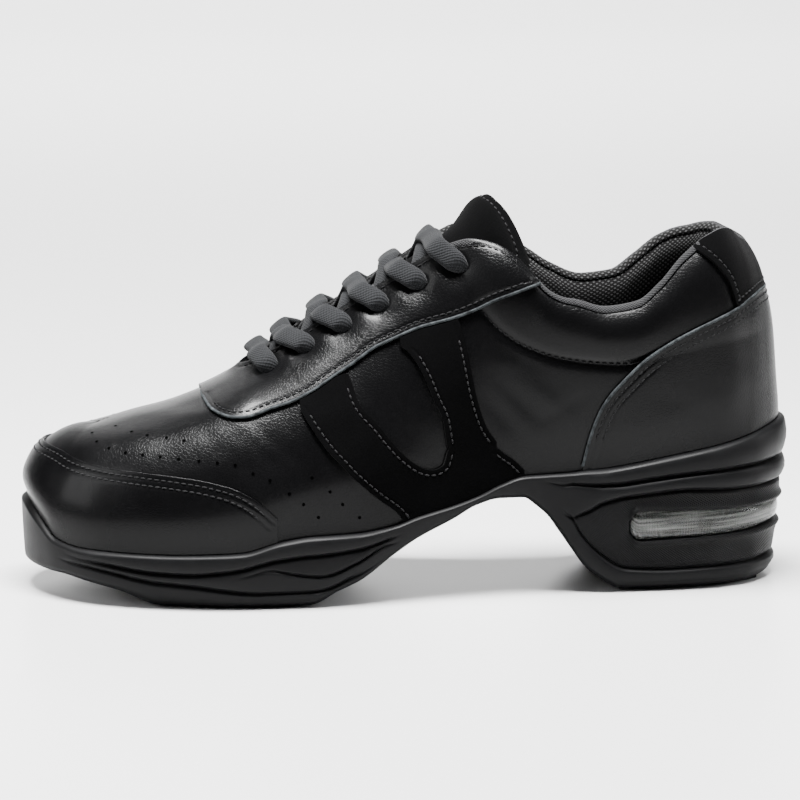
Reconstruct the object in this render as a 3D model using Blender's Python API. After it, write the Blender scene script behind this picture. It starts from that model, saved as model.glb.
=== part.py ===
# Split sole dance sneaker for the left foot, empty and standing on its sole.
# The toe points along minus X, the outer side of the foot is minus Y, and Z is up.
# The origin lies on the floor under the middle of the shoe. Units are metres.
import math

import bmesh
import bpy
import numpy as np

# Named sizes
SHOE_LENGTH = 0.265
BALL_WIDTH = 0.096
COLLAR_HEIGHT = 0.1227
HEEL_SOLE_HEIGHT = 0.056
TREAD_THICKNESS = 0.003
TREAD_INSET = 0.0045
TREAD_GROOVE_DEPTH = 0.0016
LIP_WIDTH = 0.003
SOLE_GROOVE_HALF_WIDTH = 0.0009
SOLE_GROOVE_DEPTH = 0.0013
CUSHION_DEPTH = 0.0055
UPPER_WALL = 0.002
COLLAR_PADDING = 0.0035
COLLAR_PAD_DROP = 0.026
OVERLAY_THICKNESS = 0.0012
INSOLE_THICKNESS = 0.003
TONGUE_THICKNESS = 0.0045
TONGUE_SWEEP = 0.012
LACE_WIDTH = 0.0068
LACE_THICKNESS = 0.0028
EYELET_INSET = 0.009
SEAM_GAP = 0.0003
PANEL_GAP = 0.0005
CENTRE_X = 0.0002
CENTRE_Y = 0.0008
FAN_SOFTNESS = 0.02
TOE_FAN = 0.10
HEEL_FAN = 0.885
THROAT_START = 0.287
CUSHION_START = 0.782

# Ribs of the last, as shares of the length from the toe
STATIONS = (0.0, 0.008, 0.03, 0.058, 0.09, 0.13, 0.17, 0.21, 0.25, 0.287, 0.30, 0.325,
            0.36, 0.40, 0.44, 0.48, 0.512, 0.545, 0.58, 0.612, 0.642, 0.666, 0.69, 0.71,
            0.727, 0.75, 0.772, 0.782, 0.825, 0.87, 0.91, 0.945, 0.972, 0.992, 1.0)

# Plan outline of the sole: station, then half widths as shares of the ball width
OUTLINE = (
    # along, lateral, medial
    (0.0, -0.06, 0.06),
    (0.019, 0.146, 0.25),
    (0.038, 0.229, 0.313),
    (0.075, 0.323, 0.385),
    (0.113, 0.385, 0.427),
    (0.17, 0.448, 0.458),
    (0.226, 0.484, 0.479),
    (0.283, 0.50, 0.484),
    (0.358, 0.495, 0.437),
    (0.434, 0.464, 0.365),
    (0.51, 0.417, 0.302),
    (0.585, 0.38, 0.276),
    (0.66, 0.359, 0.281),
    (0.736, 0.354, 0.307),
    (0.811, 0.354, 0.328),
    (0.887, 0.333, 0.318),
    (0.943, 0.271, 0.266),
    (0.974, 0.188, 0.188),
    (1.0, 0.0, 0.0),
)

# Middle line of the last, as shares of the ball width
SPINE = (
    # along, sideways
    (0.0, 0.06),
    (0.1, 0.045),
    (0.25, 0.01),
    (0.4, -0.01),
    (0.6, -0.02),
    (0.8, 0.0),
    (1.0, 0.0),
)

# Heights of the sole, as shares of its height at the back of the heel
SOLE_LEVELS = (
    # along, underside lift, footbed, rim
    (0.0, 0.093, 0.304, 0.571),
    (0.02, 0.093, 0.295, 0.464),
    (0.04, 0.093, 0.277, 0.37),
    (0.075, 0.07, 0.255, 0.336),
    (0.105, 0.045, 0.25, 0.332),
    (0.143, 0.011, 0.246, 0.33),
    (0.17, 0.0, 0.241, 0.33),
    (0.226, 0.0, 0.241, 0.336),
    (0.275, 0.0, 0.255, 0.348),
    (0.325, 0.0, 0.30, 0.41),
    (0.366, 0.0, 0.348, 0.437),
    (0.42, 0.073, 0.38, 0.443),
    (0.47, 0.232, 0.42, 0.475),
    (0.50, 0.32, 0.473, 0.52),
    (0.55, 0.432, 0.554, 0.58),
    (0.58, 0.507, 0.611, 0.627),
    (0.61, 0.54, 0.665, 0.693),
    (0.64, 0.54, 0.696, 0.737),
    (0.655, 0.495, 0.70, 0.74),
    (0.672, 0.423, 0.70, 0.743),
    (0.702, 0.223, 0.705, 0.75),
    (0.717, 0.12, 0.708, 0.76),
    (0.73, 0.06, 0.712, 0.765),
    (0.75, 0.01, 0.719, 0.774),
    (0.762, 0.0, 0.725, 0.782),
    (0.785, 0.0, 0.745, 0.80),
    (0.826, 0.0, 0.768, 0.836),
    (0.91, 0.0, 0.83, 0.905),
    (0.966, 0.0, 0.884, 0.964),
    (1.0, 0.0, 0.902, 1.0),
)

# How far the sole's wall draws in towards its foot, as shares of the ball width
SOLE_TUCK = (
    # along, tuck
    (0.0, 0.058),
    (0.06, 0.05),
    (0.15, 0.03),
    (0.3, 0.02),
    (0.7, 0.02),
    (0.8, 0.026),
    (0.9, 0.03),
    (1.0, 0.042),
)

# Grooves along the sole's wall: heights as shares of the wall from foot to rim,
# depths as shares of the groove depth, cushion as a share of the cushion depth
WALL_GROOVES = (
    # along, low, window foot, window top, high, top, low depth, mid depth, high depth, top depth,
    # cushion
    (0.0, 0.3, 0.42, 0.47, 0.62, 0.85, 0.0, 0.0, 0.0, 0.0, 0.0),
    (0.04, 0.50, 0.60, 0.63, 0.74, 0.88, 0.0, 0.0, 0.0, 0.0, 0.0),
    (0.07, 0.50, 0.59, 0.61, 0.71, 0.88, 0.6, 0.0, 0.0, 0.0, 0.0),
    (0.11, 0.46, 0.54, 0.56, 0.66, 0.88, 1.0, 0.0, 0.7, 0.0, 0.0),
    (0.16, 0.38, 0.48, 0.51, 0.60, 0.88, 1.0, 0.0, 1.0, 0.0, 0.0),
    (0.21, 0.31, 0.43, 0.46, 0.57, 0.88, 1.0, 0.0, 1.0, 0.0, 0.0),
    (0.26, 0.19, 0.48, 0.51, 0.63, 0.88, 1.0, 0.0, 1.0, 0.0, 0.0),
    (0.30, 0.12, 0.56, 0.59, 0.70, 0.88, 1.0, 0.4, 1.0, 0.0, 0.0),
    (0.35, 0.11, 0.40, 0.43, 0.70, 0.88, 1.0, 1.0, 1.0, 0.0, 0.0),
    (0.385, 0.12, 0.35, 0.38, 0.70, 0.88, 1.0, 1.0, 1.0, 0.0, 0.0),
    (0.42, 0.18, 0.42, 0.45, 0.69, 0.88, 0.4, 1.0, 1.0, 0.0, 0.0),
    (0.455, 0.18, 0.52, 0.55, 0.67, 0.88, 0.0, 0.6, 0.8, 0.0, 0.0),
    (0.48, 0.18, 0.42, 0.48, 0.66, 0.88, 0.0, 0.0, 0.0, 0.0, 0.0),
    (0.66, 0.18, 0.38, 0.46, 0.62, 0.84, 0.0, 0.0, 0.0, 0.0, 0.0),
    (0.69, 0.25, 0.38, 0.42, 0.53, 0.82, 0.0, 0.0, 0.0, 0.6, 0.0),
    (0.708, 0.31, 0.40, 0.42, 0.51, 0.86, 0.8, 0.0, 0.8, 1.0, 0.0),
    (0.725, 0.28, 0.40, 0.46, 0.58, 0.86, 1.0, 0.0, 1.0, 1.0, 0.0),
    (0.745, 0.22, 0.38, 0.50, 0.69, 0.86, 1.0, 0.0, 1.0, 1.0, 0.0),
    (0.772, 0.13, 0.37, 0.57, 0.73, 0.85, 1.0, 0.0, 1.0, 1.0, 0.0),
    (0.782, 0.12, 0.345, 0.60, 0.73, 0.85, 1.0, 0.0, 1.0, 1.0, 1.0),
    (0.84, 0.10, 0.335, 0.565, 0.72, 0.84, 1.0, 0.0, 1.0, 1.0, 1.0),
    (0.91, 0.10, 0.325, 0.52, 0.66, 0.81, 1.0, 0.0, 1.0, 1.0, 1.0),
    (1.0, 0.10, 0.31, 0.46, 0.59, 0.75, 1.0, 0.0, 1.0, 1.0, 1.0),
)

# Top edge of the upper: ridge, then throat, then collar.
# Distances from the middle line are shares of the ball width, heights of the collar height.
TOP_EDGE = (
    # along, lateral out, medial out, lateral height, medial height
    (0.0, 0.0, 0.0, 0.44, 0.44),
    (0.10, 0.0, 0.0, 0.473, 0.473),
    (0.15, 0.0, 0.0, 0.503, 0.503),
    (0.185, 0.0, 0.0, 0.522, 0.522),
    (0.223, 0.0, 0.0, 0.552, 0.552),
    (0.25, 0.0, 0.0, 0.578, 0.578),
    (0.287, 0.0, 0.0, 0.62, 0.62),
    (0.30, 0.058, 0.058, 0.632, 0.632),
    (0.32, 0.078, 0.078, 0.655, 0.655),
    (0.385, 0.105, 0.105, 0.745, 0.745),
    (0.455, 0.125, 0.125, 0.842, 0.842),
    (0.51, 0.145, 0.145, 0.918, 0.918),
    (0.545, 0.172, 0.172, 0.963, 0.963),
    (0.575, 0.222, 0.215, 0.983, 0.985),
    (0.60, 0.262, 0.245, 0.977, 0.98),
    (0.642, 0.305, 0.275, 0.937, 0.945),
    (0.672, 0.325, 0.288, 0.886, 0.905),
    (0.70, 0.336, 0.297, 0.842, 0.865),
    (0.745, 0.342, 0.305, 0.80, 0.828),
    (0.785, 0.338, 0.312, 0.812, 0.836),
    (0.818, 0.325, 0.308, 0.866, 0.885),
    (0.85, 0.305, 0.295, 0.94, 0.945),
    (0.883, 0.277, 0.275, 0.985, 0.985),
    (0.915, 0.245, 0.245, 1.0, 1.0),
    (0.94, 0.22, 0.22, 0.994, 0.994),
    (0.968, 0.204, 0.204, 0.976, 0.976),
    (1.0, 0.20, 0.20, 0.96, 0.96),
)

# Sections of the last between the sole's rim and the top edge.
# Heights are shares of that rise; insets are shares of the ball width, minus is outwards.
SECTIONS = (
    # along, low, middle, high, lateral low, middle, high, medial low, middle, high
    (0.0, 0.22, 0.50, 0.79, -0.014, 0.014, 0.10, -0.014, 0.014, 0.10),
    (0.05, 0.22, 0.52, 0.82, -0.010, 0.02, 0.12, -0.010, 0.02, 0.12),
    (0.12, 0.22, 0.54, 0.84, -0.007, 0.03, 0.145, -0.007, 0.03, 0.145),
    (0.25, 0.22, 0.54, 0.84, -0.011, 0.03, 0.165, -0.010, 0.035, 0.17),
    (0.32, 0.22, 0.52, 0.82, -0.009, 0.037, 0.17, -0.006, 0.04, 0.16),
    (0.40, 0.22, 0.52, 0.80, -0.004, 0.042, 0.155, 0.0, 0.042, 0.13),
    (0.47, 0.22, 0.52, 0.80, 0.0, 0.035, 0.125, 0.003, 0.033, 0.10),
    (0.545, 0.22, 0.52, 0.80, 0.0, 0.018, 0.08, 0.002, 0.015, 0.055),
    (0.60, 0.22, 0.50, 0.78, -0.006, -0.002, 0.03, -0.006, -0.006, 0.012),
    (0.68, 0.28, 0.55, 0.82, -0.016, -0.020, -0.012, -0.014, -0.018, -0.012),
    (0.745, 0.28, 0.58, 0.84, -0.018, -0.028, -0.026, -0.016, -0.024, -0.020),
    (0.84, 0.26, 0.52, 0.80, -0.020, -0.024, -0.010, -0.018, -0.020, -0.006),
    (0.905, 0.26, 0.52, 0.80, -0.014, -0.014, 0.010, -0.014, -0.014, 0.010),
    (0.95, 0.26, 0.52, 0.80, 0.002, 0.006, 0.032, 0.002, 0.006, 0.032),
    (1.0, 0.26, 0.52, 0.80, 0.012, 0.018, 0.046, 0.012, 0.018, 0.046),
)

# Edges of the panels sewn on the upper, as shares of the collar height
TOE_CAP_EDGE = (
    # along, top
    (0.0, 0.404),
    (0.03, 0.396),
    (0.06, 0.383),
    (0.10, 0.373),
    (0.15, 0.367),
    (0.21, 0.358),
    (0.26, 0.338),
    (0.287, 0.312),
    (0.30, 0.292),
    (0.32, 0.252),
)
EYESTAY_EDGE = (
    # along, foot
    (0.235, 0.541),
    (0.242, 0.525),
    (0.25, 0.517),
    (0.268, 0.511),
    (0.287, 0.514),
    (0.313, 0.533),
    (0.343, 0.555),
    (0.37, 0.584),
    (0.396, 0.62),
    (0.42, 0.652),
    (0.45, 0.696),
    (0.48, 0.726),
    (0.506, 0.75),
    (0.551, 0.778),
    (0.578, 0.80),
    (0.604, 0.827),
    (0.626, 0.847),
    (0.642, 0.862),
)
COUNTER_EDGE = (
    # along, top
    (0.735, 0.40),
    (0.745, 0.475),
    (0.757, 0.54),
    (0.775, 0.60),
    (0.80, 0.66),
    (0.835, 0.712),
    (0.87, 0.745),
    (0.91, 0.77),
    (0.945, 0.79),
    (0.972, 0.797),
    (1.0, 0.80),
)
HEEL_TAB_EDGE = (
    # along, front edge; behind it the tab sits on the counter
    (0.862, 0.952),
    (0.875, 0.931),
    (0.893, 0.896),
    (0.905, 0.86),
    (0.915, 0.80),
    (0.925, 0.76),
    (0.945, 0.70),
    (0.97, 0.70),
    (1.0, 0.70),
)
SADDLE_FRONT = (
    # along, front edge, then upper edge at the window or the eyestay
    (0.353, 0.535, 0.56),
    (0.365, 0.492, 0.571),
    (0.386, 0.428, 0.598),
    (0.4015, 0.392, 0.62),
    (0.4135, 0.363, 0.628),
    (0.426, 0.338, 0.554),
    (0.45, 0.292, 0.492),
    (0.475, 0.25, 0.426),
    (0.493, 0.20, 0.391),
    (0.511, 0.20, 0.369),
    (0.52, 0.20, 0.366),
    (0.5335, 0.20, 0.377),
    (0.5404, 0.20, 0.42),
    (0.603, 0.20, 0.42),
    (0.612, 0.20, 0.405),
    (0.6245, 0.20, 0.386),
    (0.64, 0.20, 0.354),
)
SADDLE_BACK = (
    # along, window edge or joint, then upper edge
    (0.482, 0.702, 0.722),
    (0.493, 0.683, 0.732),
    (0.509, 0.628, 0.745),
    (0.522, 0.558, 0.753),
    (0.5335, 0.503, 0.76),
    (0.5404, 0.42, 0.764),
    (0.555, 0.42, 0.774),
    (0.5605, 0.42, 0.74),
    (0.566, 0.42, 0.69),
    (0.577, 0.42, 0.564),
    (0.59, 0.42, 0.479),
    (0.603, 0.42, 0.437),
)

# Tongue: heights as shares of the collar height, widths as shares of the ball width
TONGUE = (
    # along, middle height, half width, drop at the edge, sweep share
    (0.25, 0.552, 0.15, 0.10, 0.0),
    (0.30, 0.61, 0.17, 0.11, 0.0),
    (0.36, 0.695, 0.19, 0.12, 0.0),
    (0.42, 0.782, 0.205, 0.13, 0.05),
    (0.48, 0.865, 0.215, 0.13, 0.15),
    (0.53, 0.935, 0.225, 0.13, 0.4),
    (0.565, 0.995, 0.235, 0.13, 0.7),
    (0.592, 1.06, 0.24, 0.135, 0.95),
    (0.604, 1.10, 0.225, 0.125, 1.0),
)

EYELETS = (0.320, 0.367, 0.414, 0.461, 0.509, 0.560)

LATERAL = -1
MEDIAL = 1


def smooth(table, column, along):
    """Value of one column of a table, along a smooth curve that never overshoots a row."""
    xs = np.array([row[0] for row in table], float)
    ys = np.array([row[column] for row in table], float)
    return smooth_curve(xs, ys, along)


def smooth_curve(xs, ys, at):
    steps = np.diff(xs)
    slopes = np.diff(ys) / steps
    tangents = np.zeros(len(xs))
    tangents[0] = slopes[0]
    tangents[-1] = slopes[-1]
    for i in range(1, len(xs) - 1):
        before, after = slopes[i - 1], slopes[i]
        if before * after > 0:
            w1 = 2 * steps[i] + steps[i - 1]
            w2 = steps[i] + 2 * steps[i - 1]
            tangents[i] = (w1 + w2) / (w1 / before + w2 / after)
    at = np.clip(at, xs[0], xs[-1])
    i = np.clip(np.searchsorted(xs, at, side="right") - 1, 0, len(xs) - 2)
    t = (at - xs[i]) / steps[i]
    return ((1 + 2 * t) * (1 - t) ** 2 * ys[i] + t * (1 - t) ** 2 * steps[i] * tangents[i]
            + t * t * (3 - 2 * t) * ys[i + 1] + t * t * (t - 1) * steps[i] * tangents[i + 1])


def turn(along):
    """Angle round the plan of the last for a station: 0 at the toe, pi at the heel."""
    return math.acos(max(-1.0, min(1.0, 1 - 2 * along)))


def spine_station(along):
    """Station on the middle line where the rib through an outline station ends."""
    toe = FAN_SOFTNESS * math.log1p(math.exp((TOE_FAN - along) / FAN_SOFTNESS))
    heel = FAN_SOFTNESS * math.log1p(math.exp((along - HEEL_FAN) / FAN_SOFTNESS))
    return along + toe - heel


def outline_point(side, along):
    angles = np.array([turn(row[0]) for row in OUTLINE])
    column = 1 if side == LATERAL else 2
    widths = np.array([row[column] for row in OUTLINE])
    width = float(smooth_curve(angles, widths, turn(along)))
    return np.array([(along - 0.5) * SHOE_LENGTH + CENTRE_X,
                     side * width * BALL_WIDTH + CENTRE_Y])


def spine_point(along):
    station = spine_station(along)
    return np.array([(station - 0.5) * SHOE_LENGTH + CENTRE_X,
                     float(smooth(SPINE, 1, station)) * BALL_WIDTH + CENTRE_Y])


def rib_line(side, along):
    """Plan point on the outline, unit vector towards the middle line, and the run to it."""
    start = outline_point(side, along)
    run = spine_point(along) - start
    length = float(np.hypot(*run))
    return start, run / length, length


def level_station(along):
    """Station at which the height above the middle line is read."""
    return spine_station(along) if along < 0.5 else along


def footbed(along):
    return float(smooth(SOLE_LEVELS, 2, along)) * HEEL_SOLE_HEIGHT


def rim(along):
    return float(smooth(SOLE_LEVELS, 3, along)) * HEEL_SOLE_HEIGHT


def underside(along):
    lift = float(smooth(SOLE_LEVELS, 1, along)) * HEEL_SOLE_HEIGHT
    return TREAD_THICKNESS + SEAM_GAP + lift


def section(side, along, count=48):
    """Outer face of the upper on one rib: rows of (arc, inset, height)."""
    start, direction, run = rib_line(side, along)
    low = footbed(along) + SEAM_GAP
    lip = rim(along)
    first = 1 if side == LATERAL else 2
    q = level_station(along)
    out = float(smooth(TOP_EDGE, first, along)) * BALL_WIDTH
    top = float(smooth(TOP_EDGE, first + 2, q)) * COLLAR_HEIGHT
    offset = 4 if side == LATERAL else 7
    insets = [LIP_WIDTH, LIP_WIDTH]
    heights = [low, lip]
    for i in range(3):
        insets.append(LIP_WIDTH + float(smooth(SECTIONS, offset + i, along)) * BALL_WIDTH)
        heights.append(lip + float(smooth(SECTIONS, 1 + i, along)) * (top - lip))
    insets.append(run - out)
    heights.append(top)
    insets = np.array(insets)
    heights = np.array(heights)
    chord = np.concatenate([[0.0], np.cumsum(np.hypot(np.diff(insets), np.diff(heights)))])
    at = np.linspace(0.0, chord[-1], count)
    inset = smooth_curve(chord, insets, at)
    height = smooth_curve(chord, heights, at)
    arc = np.concatenate([[0.0], np.cumsum(np.hypot(np.diff(inset), np.diff(height)))])
    return arc, inset, height


_ribs = {}


def rib(side, along):
    """Outer face of the upper on one rib as 3D points, with the arc length of each."""
    key = (side, round(along, 6))
    if key not in _ribs:
        start, direction, run = rib_line(side, along)
        arc, inset, height = section(side, along)
        plan = start + inset[:, None] * direction
        _ribs[key] = (arc, np.column_stack([plan, height]))
    return _ribs[key]


def rib_at_turn(angle):
    """Rib at a signed angle round the plan, the lateral side below zero."""
    if angle > math.pi:
        angle -= 2 * math.pi
    if angle < -math.pi:
        angle += 2 * math.pi
    side = LATERAL if angle < 0 else MEDIAL
    return rib(side, (1 - math.cos(angle)) / 2)


_normals = {}


def rib_normals(side, along):
    """Outward normals of the upper's outer face on one rib."""
    key = (side, round(along, 6))
    if key in _normals:
        return _normals[key]
    angle = side * turn(along)
    arc, points = rib(side, along)
    ahead = rib_at_turn(angle + 0.012)[1]
    behind = rib_at_turn(angle - 0.012)[1]
    along_plan = ahead - behind
    up = np.gradient(points, axis=0)
    normal = np.cross(up, along_plan)
    size = np.linalg.norm(normal, axis=1)
    if size[-1] < 1e-12:
        normal[-1] = normal[-2]
        size[-1] = size[-2]
    normal /= size[:, None]
    _normals[key] = normal
    return normal


def on_ridge(along):
    return along <= THROAT_START + 1e-6


def surface(side, along, arc_values):
    """Points and outward normals of the upper's outer face at arc lengths on a rib."""
    arc, points = rib(side, along)
    normals = rib_normals(side, along).copy()
    if on_ridge(along):
        other = rib_normals(-side, along)[-1]
        both = normals[-1] + other
        both[1] = 0.0 if abs(both[1]) < 1e-9 else both[1]
        normals[-1] = both / np.linalg.norm(both)
    position = np.column_stack([np.interp(arc_values, arc, points[:, i]) for i in range(3)])
    normal = np.column_stack([np.interp(arc_values, arc, normals[:, i]) for i in range(3)])
    normal /= np.linalg.norm(normal, axis=1)[:, None]
    return position, normal


def arc_at_height(side, along, height):
    arc, points = rib(side, along)
    return float(np.interp(height, points[:, 2], arc))


def collection(name):
    made = bpy.data.collections.new(name)
    bpy.context.scene.collection.children.link(made)
    return made


def material(name, colour, roughness, metallic=0.0, transmission=0.0):
    made = bpy.data.materials.new(name)
    made.use_nodes = True
    shader = made.node_tree.nodes["Principled BSDF"]
    shader.inputs["Base Color"].default_value = (*colour, 1.0)
    shader.inputs["Roughness"].default_value = roughness
    shader.inputs["Metallic"].default_value = metallic
    shader.inputs["Transmission Weight"].default_value = transmission
    return made


def vertex_grid(mesh, shared, grid):
    """Vertices for a grid of points, one vertex where points of a piece meet."""
    made = []
    for row in grid:
        line = []
        for point in row:
            key = tuple(round(float(value), 6) + 0.0 for value in point)
            if key not in shared:
                shared[key] = mesh.verts.new(point)
            line.append(shared[key])
        made.append(line)
    return made


def skin(mesh, corners):
    """Add a face; where two strips of a piece meet face to face, neither wall stays."""
    kept = []
    for corner in corners:
        if corner not in kept:
            kept.append(corner)
    if len(kept) < 3:
        return
    wall = mesh.faces.get(kept)
    if wall:
        mesh.faces.remove(wall)
    else:
        mesh.faces.new(kept)


def grid_faces(mesh, grid, closed=False, flip=False):
    """Skin a grid of vertices, rib by rib."""
    count = len(grid)
    for i in range(count if closed else count - 1):
        here, there = grid[i], grid[(i + 1) % count]
        for j in range(len(here) - 1):
            corners = [here[j], there[j], there[j + 1], here[j + 1]]
            skin(mesh, corners[::-1] if flip else corners)


def shell_strip(mesh, shared, outer, inner):
    """Closed strip between two grids of points with equal rows and columns."""
    outer_v = vertex_grid(mesh, shared, outer)
    inner_v = vertex_grid(mesh, shared, inner)
    grid_faces(mesh, outer_v)
    grid_faces(mesh, inner_v, flip=True)
    grid_faces(mesh, [[row_o[0], row_i[0]] for row_o, row_i in zip(outer_v, inner_v)], flip=True)
    grid_faces(mesh, [[row_o[-1], row_i[-1]] for row_o, row_i in zip(outer_v, inner_v)])
    for row_o, row_i, flip in ((outer_v[0], inner_v[0], True), (outer_v[-1], inner_v[-1], False)):
        grid_faces(mesh, [row_o, row_i], flip=not flip)


def finish(mesh, name, look, place, smooth_angle=40):
    """Weld, orient and link a piece."""
    bmesh.ops.remove_doubles(mesh, verts=mesh.verts, dist=0.000002)
    loose = [vertex for vertex in mesh.verts if not vertex.link_faces]
    bmesh.ops.delete(mesh, geom=loose, context="VERTS")
    bmesh.ops.dissolve_degenerate(mesh, dist=0.000002, edges=mesh.edges)
    bmesh.ops.triangulate(mesh, faces=mesh.faces, quad_method="SHORT_EDGE")
    bmesh.ops.recalc_face_normals(mesh, faces=mesh.faces)
    data = bpy.data.meshes.new(name)
    mesh.to_mesh(data)
    mesh.free()
    data.shade_smooth()
    data.set_sharp_from_angle(angle=math.radians(smooth_angle))
    data.materials.append(look)
    made = bpy.data.objects.new(name, data)
    place.objects.link(made)
    return made


def loop_ribs():
    """Ribs right round the last: up the lateral side from the toe, back by the medial side."""
    lateral = [(LATERAL, along) for along in STATIONS]
    medial = [(MEDIAL, along) for along in STATIONS[-2:0:-1]]
    return lateral + medial


def panel_stations(table):
    first, last = table[0][0], table[-1][0]
    inside = [along for along in STATIONS if first - 1e-9 <= along <= last + 1e-9]
    own = [row[0] for row in table]
    merged = sorted(set(round(value, 5) for value in inside + own))
    kept = [merged[0]]
    for value in merged[1:]:
        if value - kept[-1] > 0.008 or value in [round(v, 5) for v in inside]:
            kept.append(value)
    return kept


def panel(strips, name, look, place, rows, thickness=OVERLAY_THICKNESS):
    """Panel cut between two larger forms of the upper: strips of (side, stations, foot, top)."""
    mesh = bmesh.new()
    shared = {}
    for side, stations, foot, top in strips:
        outer, inner = [], []
        for along in stations:
            low = arc_at_height(side, along, foot(side, along))
            arc = rib(side, along)[0]
            high = arc[-1] if top is None else arc_at_height(side, along, top(side, along))
            levels = np.linspace(low, high, rows)
            points, normals = surface(side, along, levels)
            outer.append(points + normals * (PANEL_GAP + thickness))
            inner.append(points + normals * PANEL_GAP)
        if side == MEDIAL:
            outer.reverse()
            inner.reverse()
        shell_strip(mesh, shared, outer, inner)
    return finish(mesh, name, look, place)


def above_rim(side, along):
    return rim(along) + 3 * SEAM_GAP


def build_upper(look, place):
    """Hollow upper with its real wall, padded at the collar, open at throat and collar."""
    rows = 11
    outer, inner, middle = [], [], []
    for side, along in loop_ribs():
        arc, points = rib(side, along)
        lip = arc_at_height(side, along, rim(along))
        levels = np.concatenate([[0.0], np.linspace(lip, arc[-1], rows - 1)])
        face, normals = surface(side, along, levels)
        wall = wall_depth(along, arc[-1], levels)
        back = face - normals * wall[:, None]
        back[0] = face[0] - level_normal(side, along) * UPPER_WALL
        edge = (face[-1] + back[-1]) / 2
        if not on_ridge(along):
            direction = face[-1] - face[-2]
            edge = edge + direction / np.linalg.norm(direction) * UPPER_WALL * 0.35
        outer.append(face)
        inner.append(back)
        middle.append(edge)
    mesh = bmesh.new()
    shared = {}
    outer_v = vertex_grid(mesh, shared, outer)
    inner_v = vertex_grid(mesh, shared, inner)
    middle_v = vertex_grid(mesh, shared, [middle])[0]
    rims = []
    feet = []
    for row_o, middle_vertex, row_i in zip(outer_v, middle_v, inner_v):
        rims.append([row_o[-1], middle_vertex, row_i[-1]])
        feet.append([row_i[0], row_o[0]])
    grid_faces(mesh, outer_v, closed=True)
    grid_faces(mesh, inner_v, closed=True, flip=True)
    grid_faces(mesh, rims, closed=True)
    grid_faces(mesh, feet, closed=True)
    return finish(mesh, "upper", look, place)


def collar_share(along):
    """How much of the collar's padding a rib has."""
    return float(np.clip((along - 0.56) / 0.06, 0.0, 1.0))


def level_normal(side, along):
    """Outward normal of the outline on a rib, level with the floor."""
    normal = rib_normals(side, along)[0].copy()
    normal[2] = 0.0
    return normal / np.linalg.norm(normal)


def sole_column(side, along):
    """Rows of the sole on one rib, from the middle of the underside round to the footbed."""
    start, direction, run = rib_line(side, along)
    foot = underside(along)
    foot_mid = underside(spine_station(along))
    lip = rim(along)
    bed = footbed(along)
    bed_mid = footbed(spine_station(along))
    wall = lip - foot
    tuck = float(smooth(SOLE_TUCK, 1, along)) * BALL_WIDTH
    row = [float(smooth(WALL_GROOVES, i, along)) for i in range(1, 11)]
    low, window_foot, window_top, high, top = row[:5]
    low_d, mid_d, high_d, top_d, cushion = row[5:]
    half = min(SOLE_GROOVE_HALF_WIDTH, 0.045 * wall)
    rows = [(run, foot_mid), (run * 0.5, (foot + foot_mid) / 2), (tuck + 0.006, foot),
            (tuck + 0.0008, foot)]

    def tucked(height):
        share = max(0.0, 1 - (height - foot) / wall)
        return tuck * share ** 1.6

    def groove(level, depth):
        height = foot + level * wall
        for shift, share in ((-half, 0.0), (0.0, 1.0), (half, 0.0)):
            rows.append((tucked(height + shift) + share * depth * SOLE_GROOVE_DEPTH,
                         height + shift))

    groove(low, low_d)
    a = foot + window_foot * wall
    b = foot + window_top * wall
    depth = mid_d * SOLE_GROOVE_DEPTH + cushion * CUSHION_DEPTH
    step = 0.1 * (b - a)
    rows += [(tucked(a), a), (tucked(a) + depth, a + step), (tucked(b) + depth, b - step),
             (tucked(b), b)]
    groove(high, high_d)
    groove(top, top_d)
    rows += [(0.0004, lip - 0.0004), (LIP_WIDTH * 0.5, lip), (LIP_WIDTH - SEAM_GAP, lip - 0.0003),
             (LIP_WIDTH - SEAM_GAP, bed)]
    share = (LIP_WIDTH + UPPER_WALL + 0.004) / run
    rows += [(run * share, bed + (bed_mid - bed) * share), (run * 0.6, bed + (bed_mid - bed) * 0.6),
             (run, bed_mid)]
    points = []
    for inset, height in rows:
        plan = start + direction * min(inset, run)
        points.append((plan[0], plan[1], height))
    return points


def build_sole(look, place):
    """Moulded sole in one piece: forefoot, arched waist and ringed heel."""
    mesh = bmesh.new()
    grid = [[mesh.verts.new(p) for p in sole_column(side, along)] for side, along in loop_ribs()]
    grid_faces(mesh, grid, closed=True)
    return finish(mesh, "sole", look, place, smooth_angle=35)


def build_cushion(look, place):
    """Clear cushion that shows in the window round the heel."""
    ribs = [(side, along) for side, along in loop_ribs() if along >= CUSHION_START - 1e-9]
    gap = SEAM_GAP
    columns = []
    for side, along in ribs:
        start, direction, run = rib_line(side, along)
        foot = underside(along)
        wall = rim(along) - foot
        tuck = float(smooth(SOLE_TUCK, 1, along)) * BALL_WIDTH
        a = foot + float(smooth(WALL_GROOVES, 2, along)) * wall
        b = foot + float(smooth(WALL_GROOVES, 3, along)) * wall
        step = 0.1 * (b - a)

        def tucked(height):
            return tuck * max(0.0, 1 - (height - foot) / wall) ** 1.6

        front = 0.0012
        deep = CUSHION_DEPTH - gap
        rows = [(tucked(a) + front + 0.0006, a + step + gap), (tucked(a) + deep, a + step + gap * 2),
                (tucked(b) + deep, b - step - gap * 2), (tucked(b) + front + 0.0006, b - step - gap),
                (tucked(b) + front, b - step * 2 - gap), (tucked(a) + front, a + step * 2 + gap)]
        column = []
        for inset, height in rows:
            plan = start + direction * inset
            column.append((plan[0], plan[1], height))
        columns.append(column)
    mesh = bmesh.new()
    grid = [[mesh.verts.new(p) for p in column] for column in columns]
    grid_faces(mesh, [row + row[:1] for row in grid])
    mesh.faces.new(grid[0])
    mesh.faces.new(grid[-1][::-1])
    return finish(mesh, "heel_cushion", look, place)


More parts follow.
